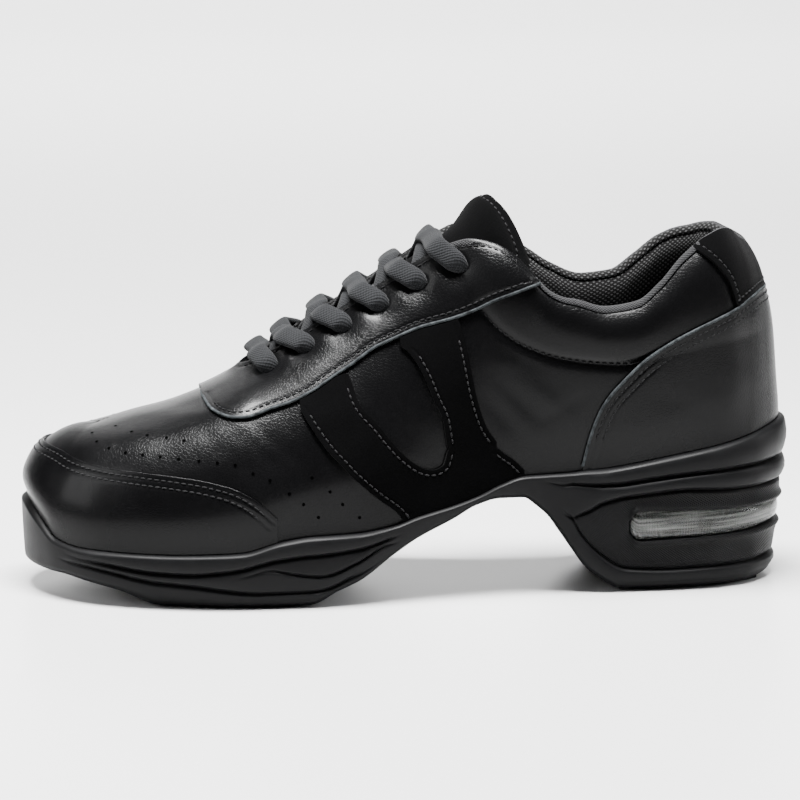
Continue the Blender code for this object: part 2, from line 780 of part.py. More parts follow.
def build_tread(name, spans, look, place):
    """Tread pad with flex grooves across it, flat on the floor between them."""
    mesh = bmesh.new()
    stations = []
    for index, (start, end) in enumerate(spans):
        steps = [along for along in STATIONS if start + 0.003 < along < end - 0.003]
        for along in [start] + steps + [end]:
            stations.append((along, 0.0))
        if index < len(spans) - 1:
            following = spans[index + 1][0]
            stations.append((end + 0.002, TREAD_GROOVE_DEPTH))
            stations.append((following - 0.002, TREAD_GROOVE_DEPTH))
    grid = []
    for along, lift in stations:
        tuck = float(smooth(SOLE_TUCK, 1, along)) * BALL_WIDTH
        inset = TREAD_INSET + tuck
        lateral, medial = [], []
        for side, half in ((LATERAL, lateral), (MEDIAL, medial)):
            edge = outline_point(side, along)
            for reach, height in ((inset + 0.001, TREAD_THICKNESS),
                                  (inset, TREAD_THICKNESS * 0.7), (inset + 0.0008, lift)):
                half.append((edge[0], edge[1] - side * reach, height))
        grid.append([mesh.verts.new(p) for p in lateral + medial[::-1]])
    grid_faces(mesh, [row + row[:1] for row in grid])
    mesh.faces.new(grid[0])
    mesh.faces.new(grid[-1][::-1])
    return finish(mesh, name, look, place)


def build_insole(look, place):
    """Insole that lies on the footbed inside the upper."""
    gap = SEAM_GAP
    mesh = bmesh.new()
    grid = []
    for side, along in loop_ribs():
        start, direction, run = rib_line(side, along)
        bed = footbed(along) + gap
        bed_mid = footbed(spine_station(along)) + gap
        edge = LIP_WIDTH + UPPER_WALL + 2 * gap
        rows = []
        for share_run, lift in ((1.0, 0.0), (0.5, 0.0), (0.0, 0.0), (0.0, 1.0), (0.5, 1.0),
                                (1.0, 1.0)):
            inset = edge + (run - edge) * share_run
            height = bed + (bed_mid - bed) * inset / run + lift * INSOLE_THICKNESS
            if share_run == 0.0 and lift == 1.0:
                inset += 0.0008
            plan = start + direction * inset
            rows.append((plan[0], plan[1], height))
        grid.append([mesh.verts.new(p) for p in rows])
    grid_faces(mesh, grid, closed=True)
    return finish(mesh, "insole", look, place)


def wall_depth(along, arc_end, levels):
    """Thickness of the upper's wall up a rib, with the collar's padding."""
    fade = np.clip((arc_end - levels) / COLLAR_PAD_DROP, 0.0, 1.0)
    return UPPER_WALL + COLLAR_PADDING * collar_share(along) * np.sin(math.pi * fade ** 0.6)


def inside_lining(side, along, sideways, height):
    """Move a place on the tongue inside the upper's lining, where it would pass through."""
    arc = rib(side, along)[0]
    levels = np.linspace(0.0, arc[-1], 90)
    face, normals = surface(side, along, levels)
    depth = wall_depth(along, arc[-1], levels) + 2.5 * SEAM_GAP
    lining = face - normals * depth[:, None]
    line = np.column_stack([side * lining[:, 1], lining[:, 2]])
    out = np.column_stack([side * normals[:, 1], normals[:, 2]])
    place = np.array([side * sideways, height])
    nearest = int(np.argmin(np.hypot(*(line - place).T)))
    if nearest == len(line) - 1 and place[0] < line[-1][0]:
        return sideways, height
    if np.dot(place - line[nearest], out[nearest]) <= 0:
        return sideways, height
    return side * line[nearest][0], line[nearest][1]


def tongue_top(along, sideways):
    """Height of the tongue's outer face at a sideways distance from the middle line."""
    mid = float(smooth(TONGUE, 1, along)) * COLLAR_HEIGHT
    half = float(smooth(TONGUE, 2, along)) * BALL_WIDTH
    drop = float(smooth(TONGUE, 3, along)) * BALL_WIDTH
    return mid - drop * (abs(sideways) / half) ** 2.2


def build_tongue(look, place):
    """Padded tongue under the throat, arched across the foot, swept back at its tip."""
    stations = [0.25, 0.275, 0.30, 0.335, 0.37, 0.405, 0.44, 0.475, 0.51, 0.54, 0.565, 0.58,
                0.592, 0.60, 0.604]
    shares = [-1.0, -0.82, -0.6, -0.35, 0.0, 0.35, 0.6, 0.82, 1.0]
    outer, inner = [], []
    for along in stations:
        half = float(smooth(TONGUE, 2, along)) * BALL_WIDTH
        sweep = float(smooth(TONGUE, 4, along)) * TONGUE_SWEEP
        middle = spine_point(along)
        row = []
        for share in shares:
            side = LATERAL if share < 0 else MEDIAL
            y = middle[1] + share * half
            station = along + sweep * share * share / SHOE_LENGTH
            z = tongue_top(along, share * half)
            y, z = inside_lining(side, station, y, z)
            row.append((middle[0] + sweep * share * share, y, z))
        outer.append(np.array(row))
    grid = np.array(outer)
    across = np.gradient(grid, axis=1)
    length = np.gradient(grid, axis=0)
    normals = np.cross(length, across)
    normals /= np.linalg.norm(normals, axis=2)[:, :, None]
    if normals[3, 4, 2] < 0:
        normals = -normals
    thin = np.array([0.55, 0.9, 1.0, 1.0, 1.0, 1.0, 1.0, 0.9, 0.55])
    ends = np.ones(len(stations))
    ends[0] = 0.5
    ends[-1] = 0.55
    ends[-2] = 0.85
    depth = TONGUE_THICKNESS * ends[:, None] * thin[None, :]
    back = grid - normals * depth[:, :, None]
    mesh = bmesh.new()
    shell_strip(mesh, {}, list(grid), list(back))
    return finish(mesh, "tongue", look, place)


def lace_bar(mesh, points, normals):
    """Flat woven lace swept along points, its flat side along the given normals."""
    points = np.array(points, float)
    tangents = np.gradient(points, axis=0)
    tangents /= np.linalg.norm(tangents, axis=1)[:, None]
    rings = []
    for point, tangent, normal in zip(points, tangents, normals):
        side = np.cross(tangent, normal)
        side /= np.linalg.norm(side)
        flat = np.cross(side, tangent)
        ring = []
        for k in range(6):
            angle = 2 * math.pi * k / 6
            ring.append(mesh.verts.new(point + side * math.cos(angle) * LACE_WIDTH / 2
                                       + flat * math.sin(angle) * LACE_THICKNESS / 2))
        rings.append(ring)
    grid_faces(mesh, [ring + ring[:1] for ring in rings])
    mesh.faces.new(rings[0][::-1])
    mesh.faces.new(rings[-1])


def lace_lift():
    return PANEL_GAP + OVERLAY_THICKNESS + SEAM_GAP + LACE_THICKNESS / 2 + 0.0007


def lace_seat(side, along, inset, extra=0.0):
    """Place on the eyestay for the middle of a lace, and the normal there."""
    arc = rib(side, along)[0]
    point, normal = surface(side, along, np.array([arc[-1] - inset]))
    return point[0] + normal[0] * (lace_lift() + extra), normal[0]


def over_tongue(along, sideways, extra=0.0):
    middle = spine_point(along)
    height = tongue_top(along, sideways)
    return np.array([middle[0], middle[1] + sideways, height + LACE_THICKNESS / 2
                     + 2 * SEAM_GAP + extra])


def lace_path(side, first, last):
    """From under the throat edge on one side over to an eyelet on the other."""
    up = np.array([-0.5, 0.0, 0.85])
    gap = float(smooth(TOP_EDGE, 1, first)) * BALL_WIDTH
    points = [over_tongue(first, side * (gap - LACE_WIDTH * 0.7), 0.0003)]
    normals = [up]
    for share, extra in ((0.25, 0.0014), (0.5, 0.0026), (0.75, 0.0036)):
        along = first + (last - first) * (share * 0.8)
        points.append(over_tongue(along, side * gap * (1 - 2 * share) * 0.8, extra))
        normals.append(up)
    along = first + (last - first) * 0.85
    for inset, station, extra in ((0.0, along, 0.0016),
                                  (EYELET_INSET * 0.5, along + (last - along) * 0.6, 0.0012),
                                  (EYELET_INSET, last, 0.0008)):
        point, normal = lace_seat(-side, station, inset, extra)
        points.append(point)
        normals.append(normal)
    return resample(points, normals, 8)


def resample(points, normals, count):
    points = np.array(points, float)
    normals = np.array(normals, float)
    chord = np.concatenate([[0.0], np.cumsum(np.linalg.norm(np.diff(points, axis=0), axis=1))])
    at = np.linspace(0.0, chord[-1], count)
    place = np.column_stack([smooth_curve(chord, points[:, i], at) for i in range(3)])
    tilt = np.column_stack([smooth_curve(chord, normals[:, i], at) for i in range(3)])
    return place, tilt / np.linalg.norm(tilt, axis=1)[:, None]


def build_laces(look, place, cutters):
    """Straight bar at the front eyelets, then crossings up the throat, each joined."""
    made = []
    front = EYELETS[0]
    points, normals = [], []
    for side in (LATERAL, MEDIAL):
        pair = [lace_seat(side, front, inset) for inset in (EYELET_INSET, EYELET_INSET * 0.5, 0.001)]
        if side == MEDIAL:
            pair.reverse()
        else:
            points.append(None)
        for point, normal in pair:
            points.append(point)
            normals.append(normal)
        if side == LATERAL:
            points.append(over_tongue(front, 0.0, 0.0022))
            normals.append(np.array([-0.5, 0.0, 0.85]))
    points = points[1:]
    bar, tilt = resample(points, normals, 9)
    mesh = bmesh.new()
    lace_bar(mesh, bar, tilt)
    made.append(finish(mesh, "lace_bar_front", look, place))
    for index in range(len(EYELETS) - 1):
        halves = []
        for side in (LATERAL, MEDIAL):
            mesh = bmesh.new()
            bar, tilt = lace_path(side, EYELETS[index] + 0.016, EYELETS[index + 1])
            lace_bar(mesh, bar, tilt)
            name = "lace_cross_%d" % (index + 1)
            if side == MEDIAL:
                halves.append(finish(mesh, name + "_over", look, cutters))
            else:
                halves.append(finish(mesh, name, look, place))
        join = halves[0].modifiers.new("join", "BOOLEAN")
        join.operation = "UNION"
        join.object = halves[1]
        halves[1].hide_render = True
        halves[1].display_type = "WIRE"
        made.append(halves[0])
    return made


def main():
    for old in list(bpy.data.objects):
        bpy.data.objects.remove(old, do_unlink=True)
    shoe = collection("dance_sneaker")
    cutters = collection("joined_pieces")
    leather = material("black_leather", (0.012, 0.012, 0.013), 0.42)
    suede = material("black_suede", (0.006, 0.006, 0.007), 0.95)
    rubber = material("black_rubber", (0.022, 0.022, 0.024), 0.55)
    clear = material("clear_cushion", (0.75, 0.78, 0.78), 0.12, transmission=0.8)
    cloth = material("black_cloth", (0.010, 0.010, 0.011), 0.9)
    lace = material("lace_cloth", (0.020, 0.022, 0.026), 0.85)

    build_sole(rubber, shoe)
    build_cushion(clear, shoe)
    build_tread("tread_forefoot", ((0.172, 0.212), (0.222, 0.262), (0.272, 0.312),
                                   (0.322, 0.364)), rubber, shoe)
    build_tread("tread_heel", ((0.768, 0.82), (0.83, 0.88), (0.89, 0.958)), rubber, shoe)
    build_upper(leather, shoe)
    build_insole(cloth, shoe)
    build_tongue(leather, shoe)

    def row_height(table, column):
        return lambda side, along: float(smooth(table, column, along)) * COLLAR_HEIGHT

    toe_lateral = [along for along in panel_stations(TOE_CAP_EDGE)]
    toe_top = row_height(TOE_CAP_EDGE, 1)
    panel([(LATERAL, toe_lateral, above_rim, toe_top),
           (MEDIAL, toe_lateral, above_rim, toe_top)], "toe_cap", leather, shoe, 5)

    eyestay_foot = row_height(EYESTAY_EDGE, 1)
    eyestay_line = panel_stations(EYESTAY_EDGE)
    panel([(LATERAL, eyestay_line, eyestay_foot, None),
           (MEDIAL, eyestay_line, eyestay_foot, None)], "eyestay", leather, shoe, 6)

    counter_line = panel_stations(COUNTER_EDGE)
    counter_top = row_height(COUNTER_EDGE, 1)
    panel([(LATERAL, counter_line, above_rim, counter_top),
           (MEDIAL, counter_line, above_rim, counter_top)], "counter", leather, shoe, 6)

    tab_line = panel_stations(HEEL_TAB_EDGE)
    tab_front = row_height(HEEL_TAB_EDGE, 1)

    def tab_foot(side, along):
        return max(tab_front(side, along), counter_top(side, along) + 2 * SEAM_GAP)

    panel([(LATERAL, tab_line, tab_foot, None),
           (MEDIAL, tab_line, tab_foot, None)], "heel_tab", suede, shoe, 5)

    def saddle_foot(side, along):
        return max(above_rim(side, along), float(smooth(SADDLE_FRONT, 1, along)) * COLLAR_HEIGHT)

    front_line = panel_stations(SADDLE_FRONT)
    back_line = panel_stations(SADDLE_BACK)
    joint = SADDLE_BACK[5][0]
    shared = [along for along in back_line if along >= joint - 1e-6]
    outside = [a for a in front_line if a < shared[0] - 1e-6 or a > shared[-1] + 1e-6]
    front_line = sorted(outside + shared)
    for side, name in ((LATERAL, "saddle_lateral"), (MEDIAL, "saddle_medial")):
        panel([(side, front_line, saddle_foot, row_height(SADDLE_FRONT, 2)),
               (side, back_line, row_height(SADDLE_BACK, 1), row_height(SADDLE_BACK, 2))],
              name, suede, shoe, 5)

    build_laces(lace, shoe, cutters)


main()
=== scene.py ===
import math

import bmesh
import bpy
import numpy as np
from mathutils import Matrix, Vector


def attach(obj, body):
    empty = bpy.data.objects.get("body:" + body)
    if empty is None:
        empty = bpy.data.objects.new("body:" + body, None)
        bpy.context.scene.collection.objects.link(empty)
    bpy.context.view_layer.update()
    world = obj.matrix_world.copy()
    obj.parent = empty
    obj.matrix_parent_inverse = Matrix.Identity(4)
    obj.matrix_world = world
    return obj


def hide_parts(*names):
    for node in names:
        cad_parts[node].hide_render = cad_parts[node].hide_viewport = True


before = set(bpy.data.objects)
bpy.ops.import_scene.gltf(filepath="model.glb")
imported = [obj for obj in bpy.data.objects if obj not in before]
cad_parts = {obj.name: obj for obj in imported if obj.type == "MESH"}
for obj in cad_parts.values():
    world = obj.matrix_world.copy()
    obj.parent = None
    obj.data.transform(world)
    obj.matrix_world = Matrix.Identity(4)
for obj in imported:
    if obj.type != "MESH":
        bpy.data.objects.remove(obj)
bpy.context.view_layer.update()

# Black split sole dance sneaker, left foot, standing on its sole. Metres, toe towards -X.

cameraSetup = {"azimuth": -6.0, "elevation": 10.0, "distance": 1.3, "aim": (-0.0017, 0.0, 0.0626),
               "lens": 169.4}


def placeCamera(setup):
    data = bpy.data.cameras.new("shoeCamera")
    data.lens = setup["lens"]
    data.sensor_width = 36.0
    made = bpy.data.objects.new("shoeCamera", data)
    bpy.context.scene.collection.objects.link(made)
    a, e = math.radians(setup["azimuth"]), math.radians(setup["elevation"])
    back = Vector((math.sin(a) * math.cos(e), -math.cos(a) * math.cos(e), math.sin(e)))
    made.location = Vector(setup["aim"]) + back * setup["distance"]
    made.rotation_euler = (-back).to_track_quat("-Z", "Y").to_euler()
    bpy.context.scene.camera = made


placeCamera(cameraSetup)
print("camera placed")


# sizes of the last; every table below holds shares of these
last = {"length": 0.265, "ball": 0.096, "collar": 0.1227, "heelSole": 0.056, "lip": 0.003,
        "gap": 0.0003, "centreX": 0.0002, "centreY": 0.0008, "tread": 0.003, "wall": 0.002,
        "fan": 0.02, "toeFan": 0.10, "heelFan": 0.885, "throat": 0.287, "padding": 0.0035,
        "padDrop": 0.026}
lateral, medial = -1, 1

# along, lateral half width, medial half width
outlineRows = (
    (0.0, -0.06, 0.06), (0.019, 0.146, 0.25), (0.038, 0.229, 0.313), (0.075, 0.323, 0.385),
    (0.113, 0.385, 0.427), (0.17, 0.448, 0.458), (0.226, 0.484, 0.479), (0.283, 0.50, 0.484),
    (0.358, 0.495, 0.437), (0.434, 0.464, 0.365), (0.51, 0.417, 0.302), (0.585, 0.38, 0.276),
    (0.66, 0.359, 0.281), (0.736, 0.354, 0.307), (0.811, 0.354, 0.328), (0.887, 0.333, 0.318),
    (0.943, 0.271, 0.266), (0.974, 0.188, 0.188), (1.0, 0.0, 0.0))
# along, sideways place of the middle line
spineRows = ((0.0, 0.06), (0.1, 0.045), (0.25, 0.01), (0.4, -0.01), (0.6, -0.02), (0.8, 0.0),
             (1.0, 0.0))
# along, underside lift, footbed, rim
soleRows = (
    (0.0, 0.093, 0.304, 0.571), (0.02, 0.093, 0.295, 0.464), (0.04, 0.093, 0.277, 0.37),
    (0.075, 0.07, 0.255, 0.336), (0.105, 0.045, 0.25, 0.332), (0.143, 0.011, 0.246, 0.33),
    (0.17, 0.0, 0.241, 0.33), (0.226, 0.0, 0.241, 0.336), (0.275, 0.0, 0.255, 0.348),
    (0.325, 0.0, 0.30, 0.41), (0.366, 0.0, 0.348, 0.437), (0.42, 0.073, 0.38, 0.443),
    (0.47, 0.232, 0.42, 0.475), (0.50, 0.32, 0.473, 0.52), (0.55, 0.432, 0.554, 0.58),
    (0.58, 0.507, 0.611, 0.627), (0.61, 0.54, 0.665, 0.693), (0.64, 0.54, 0.696, 0.737),
    (0.655, 0.495, 0.70, 0.74), (0.672, 0.423, 0.70, 0.743), (0.702, 0.223, 0.705, 0.75),
    (0.717, 0.12, 0.708, 0.76), (0.73, 0.06, 0.712, 0.765), (0.75, 0.01, 0.719, 0.774),
    (0.762, 0.0, 0.725, 0.782), (0.785, 0.0, 0.745, 0.80), (0.826, 0.0, 0.768, 0.836),
    (0.91, 0.0, 0.83, 0.905), (0.966, 0.0, 0.884, 0.964), (1.0, 0.0, 0.902, 1.0))
# along, how far the wall draws in at its foot
tuckRows = ((0.0, 0.010), (0.06, 0.022), (0.15, 0.03), (0.3, 0.02), (0.7, 0.02), (0.8, 0.026),
            (0.9, 0.03), (1.0, 0.042))
# along, lateral out, medial out, lateral height, medial height of the top edge
topRows = (
    (0.0, 0.0, 0.0, 0.44, 0.44), (0.10, 0.0, 0.0, 0.473, 0.473), (0.15, 0.0, 0.0, 0.503, 0.503),
    (0.185, 0.0, 0.0, 0.522, 0.522), (0.223, 0.0, 0.0, 0.552, 0.552),
    (0.25, 0.0, 0.0, 0.578, 0.578), (0.287, 0.0, 0.0, 0.62, 0.62),
    (0.2885, 0.018, 0.018, 0.6213, 0.6213), (0.292, 0.036, 0.036, 0.6245, 0.6245),
    (0.30, 0.058, 0.058, 0.632, 0.632), (0.32, 0.078, 0.078, 0.655, 0.655),
    (0.385, 0.105, 0.105, 0.745, 0.745), (0.455, 0.125, 0.125, 0.842, 0.842),
    (0.51, 0.145, 0.145, 0.918, 0.918), (0.545, 0.172, 0.172, 0.963, 0.963),
    (0.575, 0.222, 0.215, 0.983, 0.985), (0.60, 0.262, 0.245, 0.977, 0.98),
    (0.642, 0.305, 0.275, 0.937, 0.945), (0.672, 0.325, 0.288, 0.886, 0.905),
    (0.70, 0.336, 0.297, 0.842, 0.865), (0.745, 0.342, 0.305, 0.80, 0.828),
    (0.785, 0.338, 0.312, 0.812, 0.836), (0.818, 0.325, 0.308, 0.866, 0.885),
    (0.85, 0.305, 0.295, 0.94, 0.945), (0.883, 0.277, 0.275, 0.985, 0.985),
    (0.915, 0.245, 0.245, 1.0, 1.0), (0.94, 0.22, 0.22, 0.994, 0.994),
    (0.968, 0.204, 0.204, 0.976, 0.976), (1.0, 0.20, 0.20, 0.96, 0.96))
# along, low, middle, high heights, then lateral and medial insets at them
sectionRows = (
    (0.0, 0.22, 0.50, 0.79, -0.014, 0.014, 0.10, -0.014, 0.014, 0.10),
    (0.05, 0.22, 0.52, 0.82, -0.010, 0.02, 0.12, -0.010, 0.02, 0.12),
    (0.12, 0.22, 0.54, 0.84, -0.007, 0.03, 0.145, -0.007, 0.03, 0.145),
    (0.25, 0.22, 0.54, 0.84, -0.011, 0.03, 0.165, -0.010, 0.035, 0.17),
    (0.32, 0.22, 0.52, 0.82, -0.009, 0.037, 0.17, -0.006, 0.04, 0.16),
    (0.40, 0.22, 0.52, 0.80, -0.004, 0.042, 0.155, 0.0, 0.042, 0.13),
    (0.47, 0.22, 0.52, 0.80, 0.0, 0.035, 0.125, 0.003, 0.033, 0.10),
    (0.545, 0.22, 0.52, 0.80, 0.0, 0.018, 0.08, 0.002, 0.015, 0.055),
    (0.60, 0.22, 0.50, 0.78, -0.006, -0.002, 0.03, -0.006, -0.006, 0.012),
    (0.68, 0.28, 0.55, 0.82, -0.016, -0.020, -0.012, -0.014, -0.018, -0.012),
    (0.745, 0.28, 0.58, 0.84, -0.018, -0.028, -0.026, -0.016, -0.024, -0.020),
    (0.84, 0.26, 0.52, 0.80, -0.020, -0.024, -0.010, -0.018, -0.020, -0.006),
    (0.905, 0.26, 0.52, 0.80, -0.014, -0.014, 0.010, -0.014, -0.014, 0.010),
    (0.95, 0.26, 0.52, 0.80, 0.002, 0.006, 0.032, 0.002, 0.006, 0.032),
    (1.0, 0.26, 0.52, 0.80, 0.012, 0.018, 0.046, 0.012, 0.018, 0.046))


def easedCurve(xs, ys, at):
    # smooth curve through the rows that never overshoots one of them
    xs, ys = np.asarray(xs, float), np.asarray(ys, float)
    steps = np.diff(xs)
    slopes = np.diff(ys) / steps
    tangents = np.zeros(len(xs))
    tangents[0], tangents[-1] = slopes[0], slopes[-1]
    for i in range(1, len(xs) - 1):
        before, after = slopes[i - 1], slopes[i]
        if before * after > 0:
            w1 = 2 * steps[i] + steps[i - 1]
            w2 = steps[i] + 2 * steps[i - 1]
            tangents[i] = (w1 + w2) / (w1 / before + w2 / after)
    at = np.clip(at, xs[0], xs[-1])
    i = np.clip(np.searchsorted(xs, at, side="right") - 1, 0, len(xs) - 2)
    t = (at - xs[i]) / steps[i]
    return ((1 + 2 * t) * (1 - t) ** 2 * ys[i] + t * (1 - t) ** 2 * steps[i] * tangents[i]
            + t * t * (3 - 2 * t) * ys[i + 1] + t * t * (t - 1) * steps[i] * tangents[i + 1])


def read(rows, column, along):
    return easedCurve([row[0] for row in rows], [row[column] for row in rows], along)


def turnOf(along):
    return np.arccos(np.clip(1 - 2 * np.asarray(along, float), -1, 1))


def alongOf(angle):
    return (1 - np.cos(angle)) / 2


def spineStation(along):
    soft = last["fan"]
    return (along + soft * np.log1p(np.exp((last["toeFan"] - along) / soft))
            - soft * np.log1p(np.exp((along - last["heelFan"]) / soft)))


def outlinePoint(side, along):
    width = easedCurve([float(turnOf(row[0])) for row in outlineRows],
                       [row[1 if side == lateral else 2] for row in outlineRows], turnOf(along))
    return np.array([(along - 0.5) * last["length"] + last["centreX"],
                     side * width * last["ball"] + last["centreY"]])


def spinePoint(along):
    station = spineStation(along)
    return np.array([(station - 0.5) * last["length"] + last["centreX"],
                     read(spineRows, 1, station) * last["ball"] + last["centreY"]])


def ribLine(side, along):
    start = outlinePoint(side, along)
    run = spinePoint(along) - start
    size = float(np.hypot(*run))
    return start, run / size, size


def footbedAt(along):
    return read(soleRows, 2, along) * last["heelSole"]


def rimAt(along):
    return read(soleRows, 3, along) * last["heelSole"]


def undersideAt(along):
    return last["tread"] + last["gap"] + read(soleRows, 1, along) * last["heelSole"]


def ribPoints(side, along, count):
    start, direction, run = ribLine(side, along)
    lip = rimAt(along)
    first, offset = (1, 4) if side == lateral else (2, 7)
    out = read(topRows, first, along) * last["ball"]
    level = spineStation(along) if along < 0.5 else along
    top = read(topRows, first + 2, level) * last["collar"]
    insets, heights = [last["lip"], last["lip"]], [footbedAt(along) + last["gap"], lip]
    for i in range(3):
        insets.append(last["lip"] + read(sectionRows, offset + i, along) * last["ball"])
        heights.append(lip + read(sectionRows, 1 + i, along) * (top - lip))
    insets.append(run - out)
    heights.append(top)
    chord = np.concatenate([[0], np.cumsum(np.hypot(np.diff(insets), np.diff(heights)))])
    at = np.linspace(0, chord[-1], count)
    inset, height = easedCurve(chord, insets, at), easedCurve(chord, heights, at)
    plan = start + inset[:, None] * direction
    return np.column_stack([plan, height])


# the whole last once, as ribs round the plan; every panel is read off it
lastDetail = {"ribs": 1081, "rows": 97}


def upperAngles(columns):
    # turn angles right round, two of them exactly at the front of the throat
    angles = np.linspace(-math.pi, math.pi, columns + 1)
    for sign in (-1, 1):
        throatTurn = sign * float(turnOf(last["throat"]))
        angles[np.argmin(abs(angles - throatTurn))] = throatTurn
    return angles


ribAngles = upperAngles(lastDetail["ribs"] - 1)
lastSkin = np.array([ribPoints(lateral if a < 0 else medial, float(alongOf(a)), lastDetail["rows"])
                     for a in ribAngles])

# soft moves of the last's rim: the padded edge rolls in and the heel leans forward
rimMoves = {"roll": 0.0032, "rollFade": 0.0045, "padFrom": 0.565, "padEase": 0.035,
            "heelLean": 0.0034, "leanFrom": 0.07, "leanSpan": 0.045, "leanX": 0.10,
            "leanEase": 0.03, "ridge": 0.011, "ridgeEase": 0.02}
# side, along, reach along, how far the topline sinks there
toplineDips = ((lateral, 0.668, 0.036, 0.0052), (medial, 0.90, 0.045, 0.0032))


def paddedShare(along):
    return np.clip((along - rimMoves["padFrom"]) / rimMoves["padEase"], 0, 1)


def shapeRim():
    # slope of the leather where the two sides meet on the middle line
    rises = lastSkin[:, -1, 2] - lastSkin[:, -5, 2]
    runs = np.linalg.norm(lastSkin[:, -1, :2] - lastSkin[:, -5, :2], axis=1)
    slopes = np.clip(rises / np.maximum(runs, 1e-5), 0, 0.8)
    slopes = (slopes + slopes[::-1]) / 2
    for i, angle in enumerate(ribAngles):
        side, along, rib = lateral if angle < 0 else medial, float(alongOf(angle)), lastSkin[i]
        walked = np.concatenate([[0], np.cumsum(np.linalg.norm(np.diff(rib, axis=0), axis=1))])
        fromTop, share = walked[-1] - walked, walked / walked[-1]
        pull = rimMoves["roll"] * paddedShare(along) * np.exp(-fromTop / rimMoves["rollFade"])
        rib[:, :2] += pull[:, None] * ribLine(side, along)[1]
        for dipSide, middle, reach, drop in toplineDips:
            if side == dipSide:
                rib[:, 2] -= drop * math.exp(-((along - middle) / reach) ** 2) * share ** 4
        # ahead of the throat the two sides meet in a round ridge, not a sharp one
        joined = min(1.0, max(0.0, (last["throat"] - along) / rimMoves["ridgeEase"]))
        aside = np.linalg.norm(rib[:, :2] - rib[-1, :2], axis=1)
        near = np.clip(rimMoves["ridge"] - aside, 0, None)
        rib[:, 2] -= joined * slopes[i] / (2 * rimMoves["ridge"]) * near ** 2
        high = np.clip((rib[:, 2] - rimMoves["leanFrom"]) / rimMoves["leanSpan"], 0, 1.1)
        back = np.clip((rib[:, 0] - rimMoves["leanX"]) / rimMoves["leanEase"], 0, 1)
        rib[:, 0] -= rimMoves["heelLean"] * high ** 1.4 * back


shapeRim()
around = np.gradient(lastSkin, axis=0)
around[0] = around[-1] = (lastSkin[1] - lastSkin[-2]) / 2
lastNormals = np.cross(np.gradient(lastSkin, axis=1), around)
sizes = np.linalg.norm(lastNormals, axis=2)
lastNormals /= np.maximum(sizes, 1e-12)[:, :, None]
for i, angle in enumerate(ribAngles):
    if sizes[i, -1] < 1e-9:
        lastNormals[i, -1] = lastNormals[i, -2]
lastNormals *= -1 if lastNormals[len(ribAngles) // 4, 40, 1] > 0 else 1
for i, angle in enumerate(ribAngles):
    if alongOf(angle) <= last["throat"] + 1e-6:
        both = lastNormals[i, -1] + lastNormals[len(ribAngles) - 1 - i, -1]
        lastNormals[i, -1] = both / np.linalg.norm(both)
ribLengths = np.linalg.norm(np.diff(lastSkin, axis=1), axis=2).sum(axis=1)
print("last shaped")

# creases and soft swellings, placed one by one:
# side, along and height share where one starts, the same where it ends, width mm, depth mm
creaseRows = (
    (lateral, 0.215, 0.500, 0.285, 0.385, 2.6, -0.34),
    (lateral, 0.235, 0.520, 0.300, 0.420, 2.2, 0.22),
    (lateral, 0.255, 0.500, 0.320, 0.390, 2.4, -0.36),
    (lateral, 0.290, 0.500, 0.350, 0.400, 2.2, -0.28),
    (lateral, 0.190, 0.510, 0.240, 0.400, 3.2, 0.25),
    (lateral, 0.150, 0.490, 0.300, 0.470, 5.0, 0.40),
    (medial, 0.215, 0.500, 0.285, 0.385, 2.8, -0.36),
    (medial, 0.250, 0.510, 0.320, 0.400, 2.4, -0.32),
    (medial, 0.290, 0.500, 0.350, 0.400, 2.4, -0.26),
    (medial, 0.160, 0.490, 0.300, 0.470, 5.0, 0.35),
    (lateral, 0.430, 0.600, 0.500, 0.430, 3.0, -0.30),
    (lateral, 0.460, 0.620, 0.520, 0.480, 2.6, 0.24),
    (lateral, 0.590, 0.560, 0.640, 0.430, 3.0, -0.38),
    (lateral, 0.610, 0.600, 0.670, 0.470, 2.6, -0.30),
    (lateral, 0.640, 0.600, 0.700, 0.500, 3.2, 0.34),
    (lateral, 0.655, 0.480, 0.720, 0.560, 2.4, -0.26),
    (lateral, 0.600, 0.700, 0.660, 0.640, 2.4, -0.22),
    (medial, 0.590, 0.560, 0.650, 0.440, 3.0, -0.36),
    (medial, 0.630, 0.620, 0.690, 0.480, 3.0, -0.30),
    (medial, 0.650, 0.500, 0.720, 0.580, 2.6, 0.30),
    (medial, 0.430, 0.600, 0.500, 0.430, 3.0, -0.28),
    (lateral, 0.800, 0.560, 0.880, 0.500, 4.0, -0.22),
    (lateral, 0.900, 0.620, 0.960, 0.560, 4.0, 0.20),
    (medial, 0.800, 0.540, 0.880, 0.490, 4.0, -0.22),
    (lateral, 0.060, 0.330, 0.160, 0.300, 5.0, 0.30),
    (medial, 0.060, 0.330, 0.160, 0.300, 5.0, 0.30))


def skin(angle, share):
    # points and normals of the last at turn angles and shares of the rib
    angle, share = np.broadcast_arrays(np.asarray(angle, float), np.asarray(share, float))
    i = np.clip(np.searchsorted(ribAngles, angle, side="right") - 1, 0, len(ribAngles) - 2)
    s = (angle - ribAngles[i]) / (ribAngles[i + 1] - ribAngles[i])
    v = np.clip(share, 0, 1) * (lastDetail["rows"] - 1)
    j = np.clip(v.astype(int), 0, lastDetail["rows"] - 2)
    t = v - j
    result = []
    for grid in (lastSkin, lastNormals):
        near = grid[i, j] * (1 - t)[..., None] + grid[i, j + 1] * t[..., None]
        far = grid[i + 1, j] * (1 - t)[..., None] + grid[i + 1, j + 1] * t[..., None]
        result.append(near * (1 - s)[..., None] + far * s[..., None])
    result[1] /= np.linalg.norm(result[1], axis=-1)[..., None]
    return result


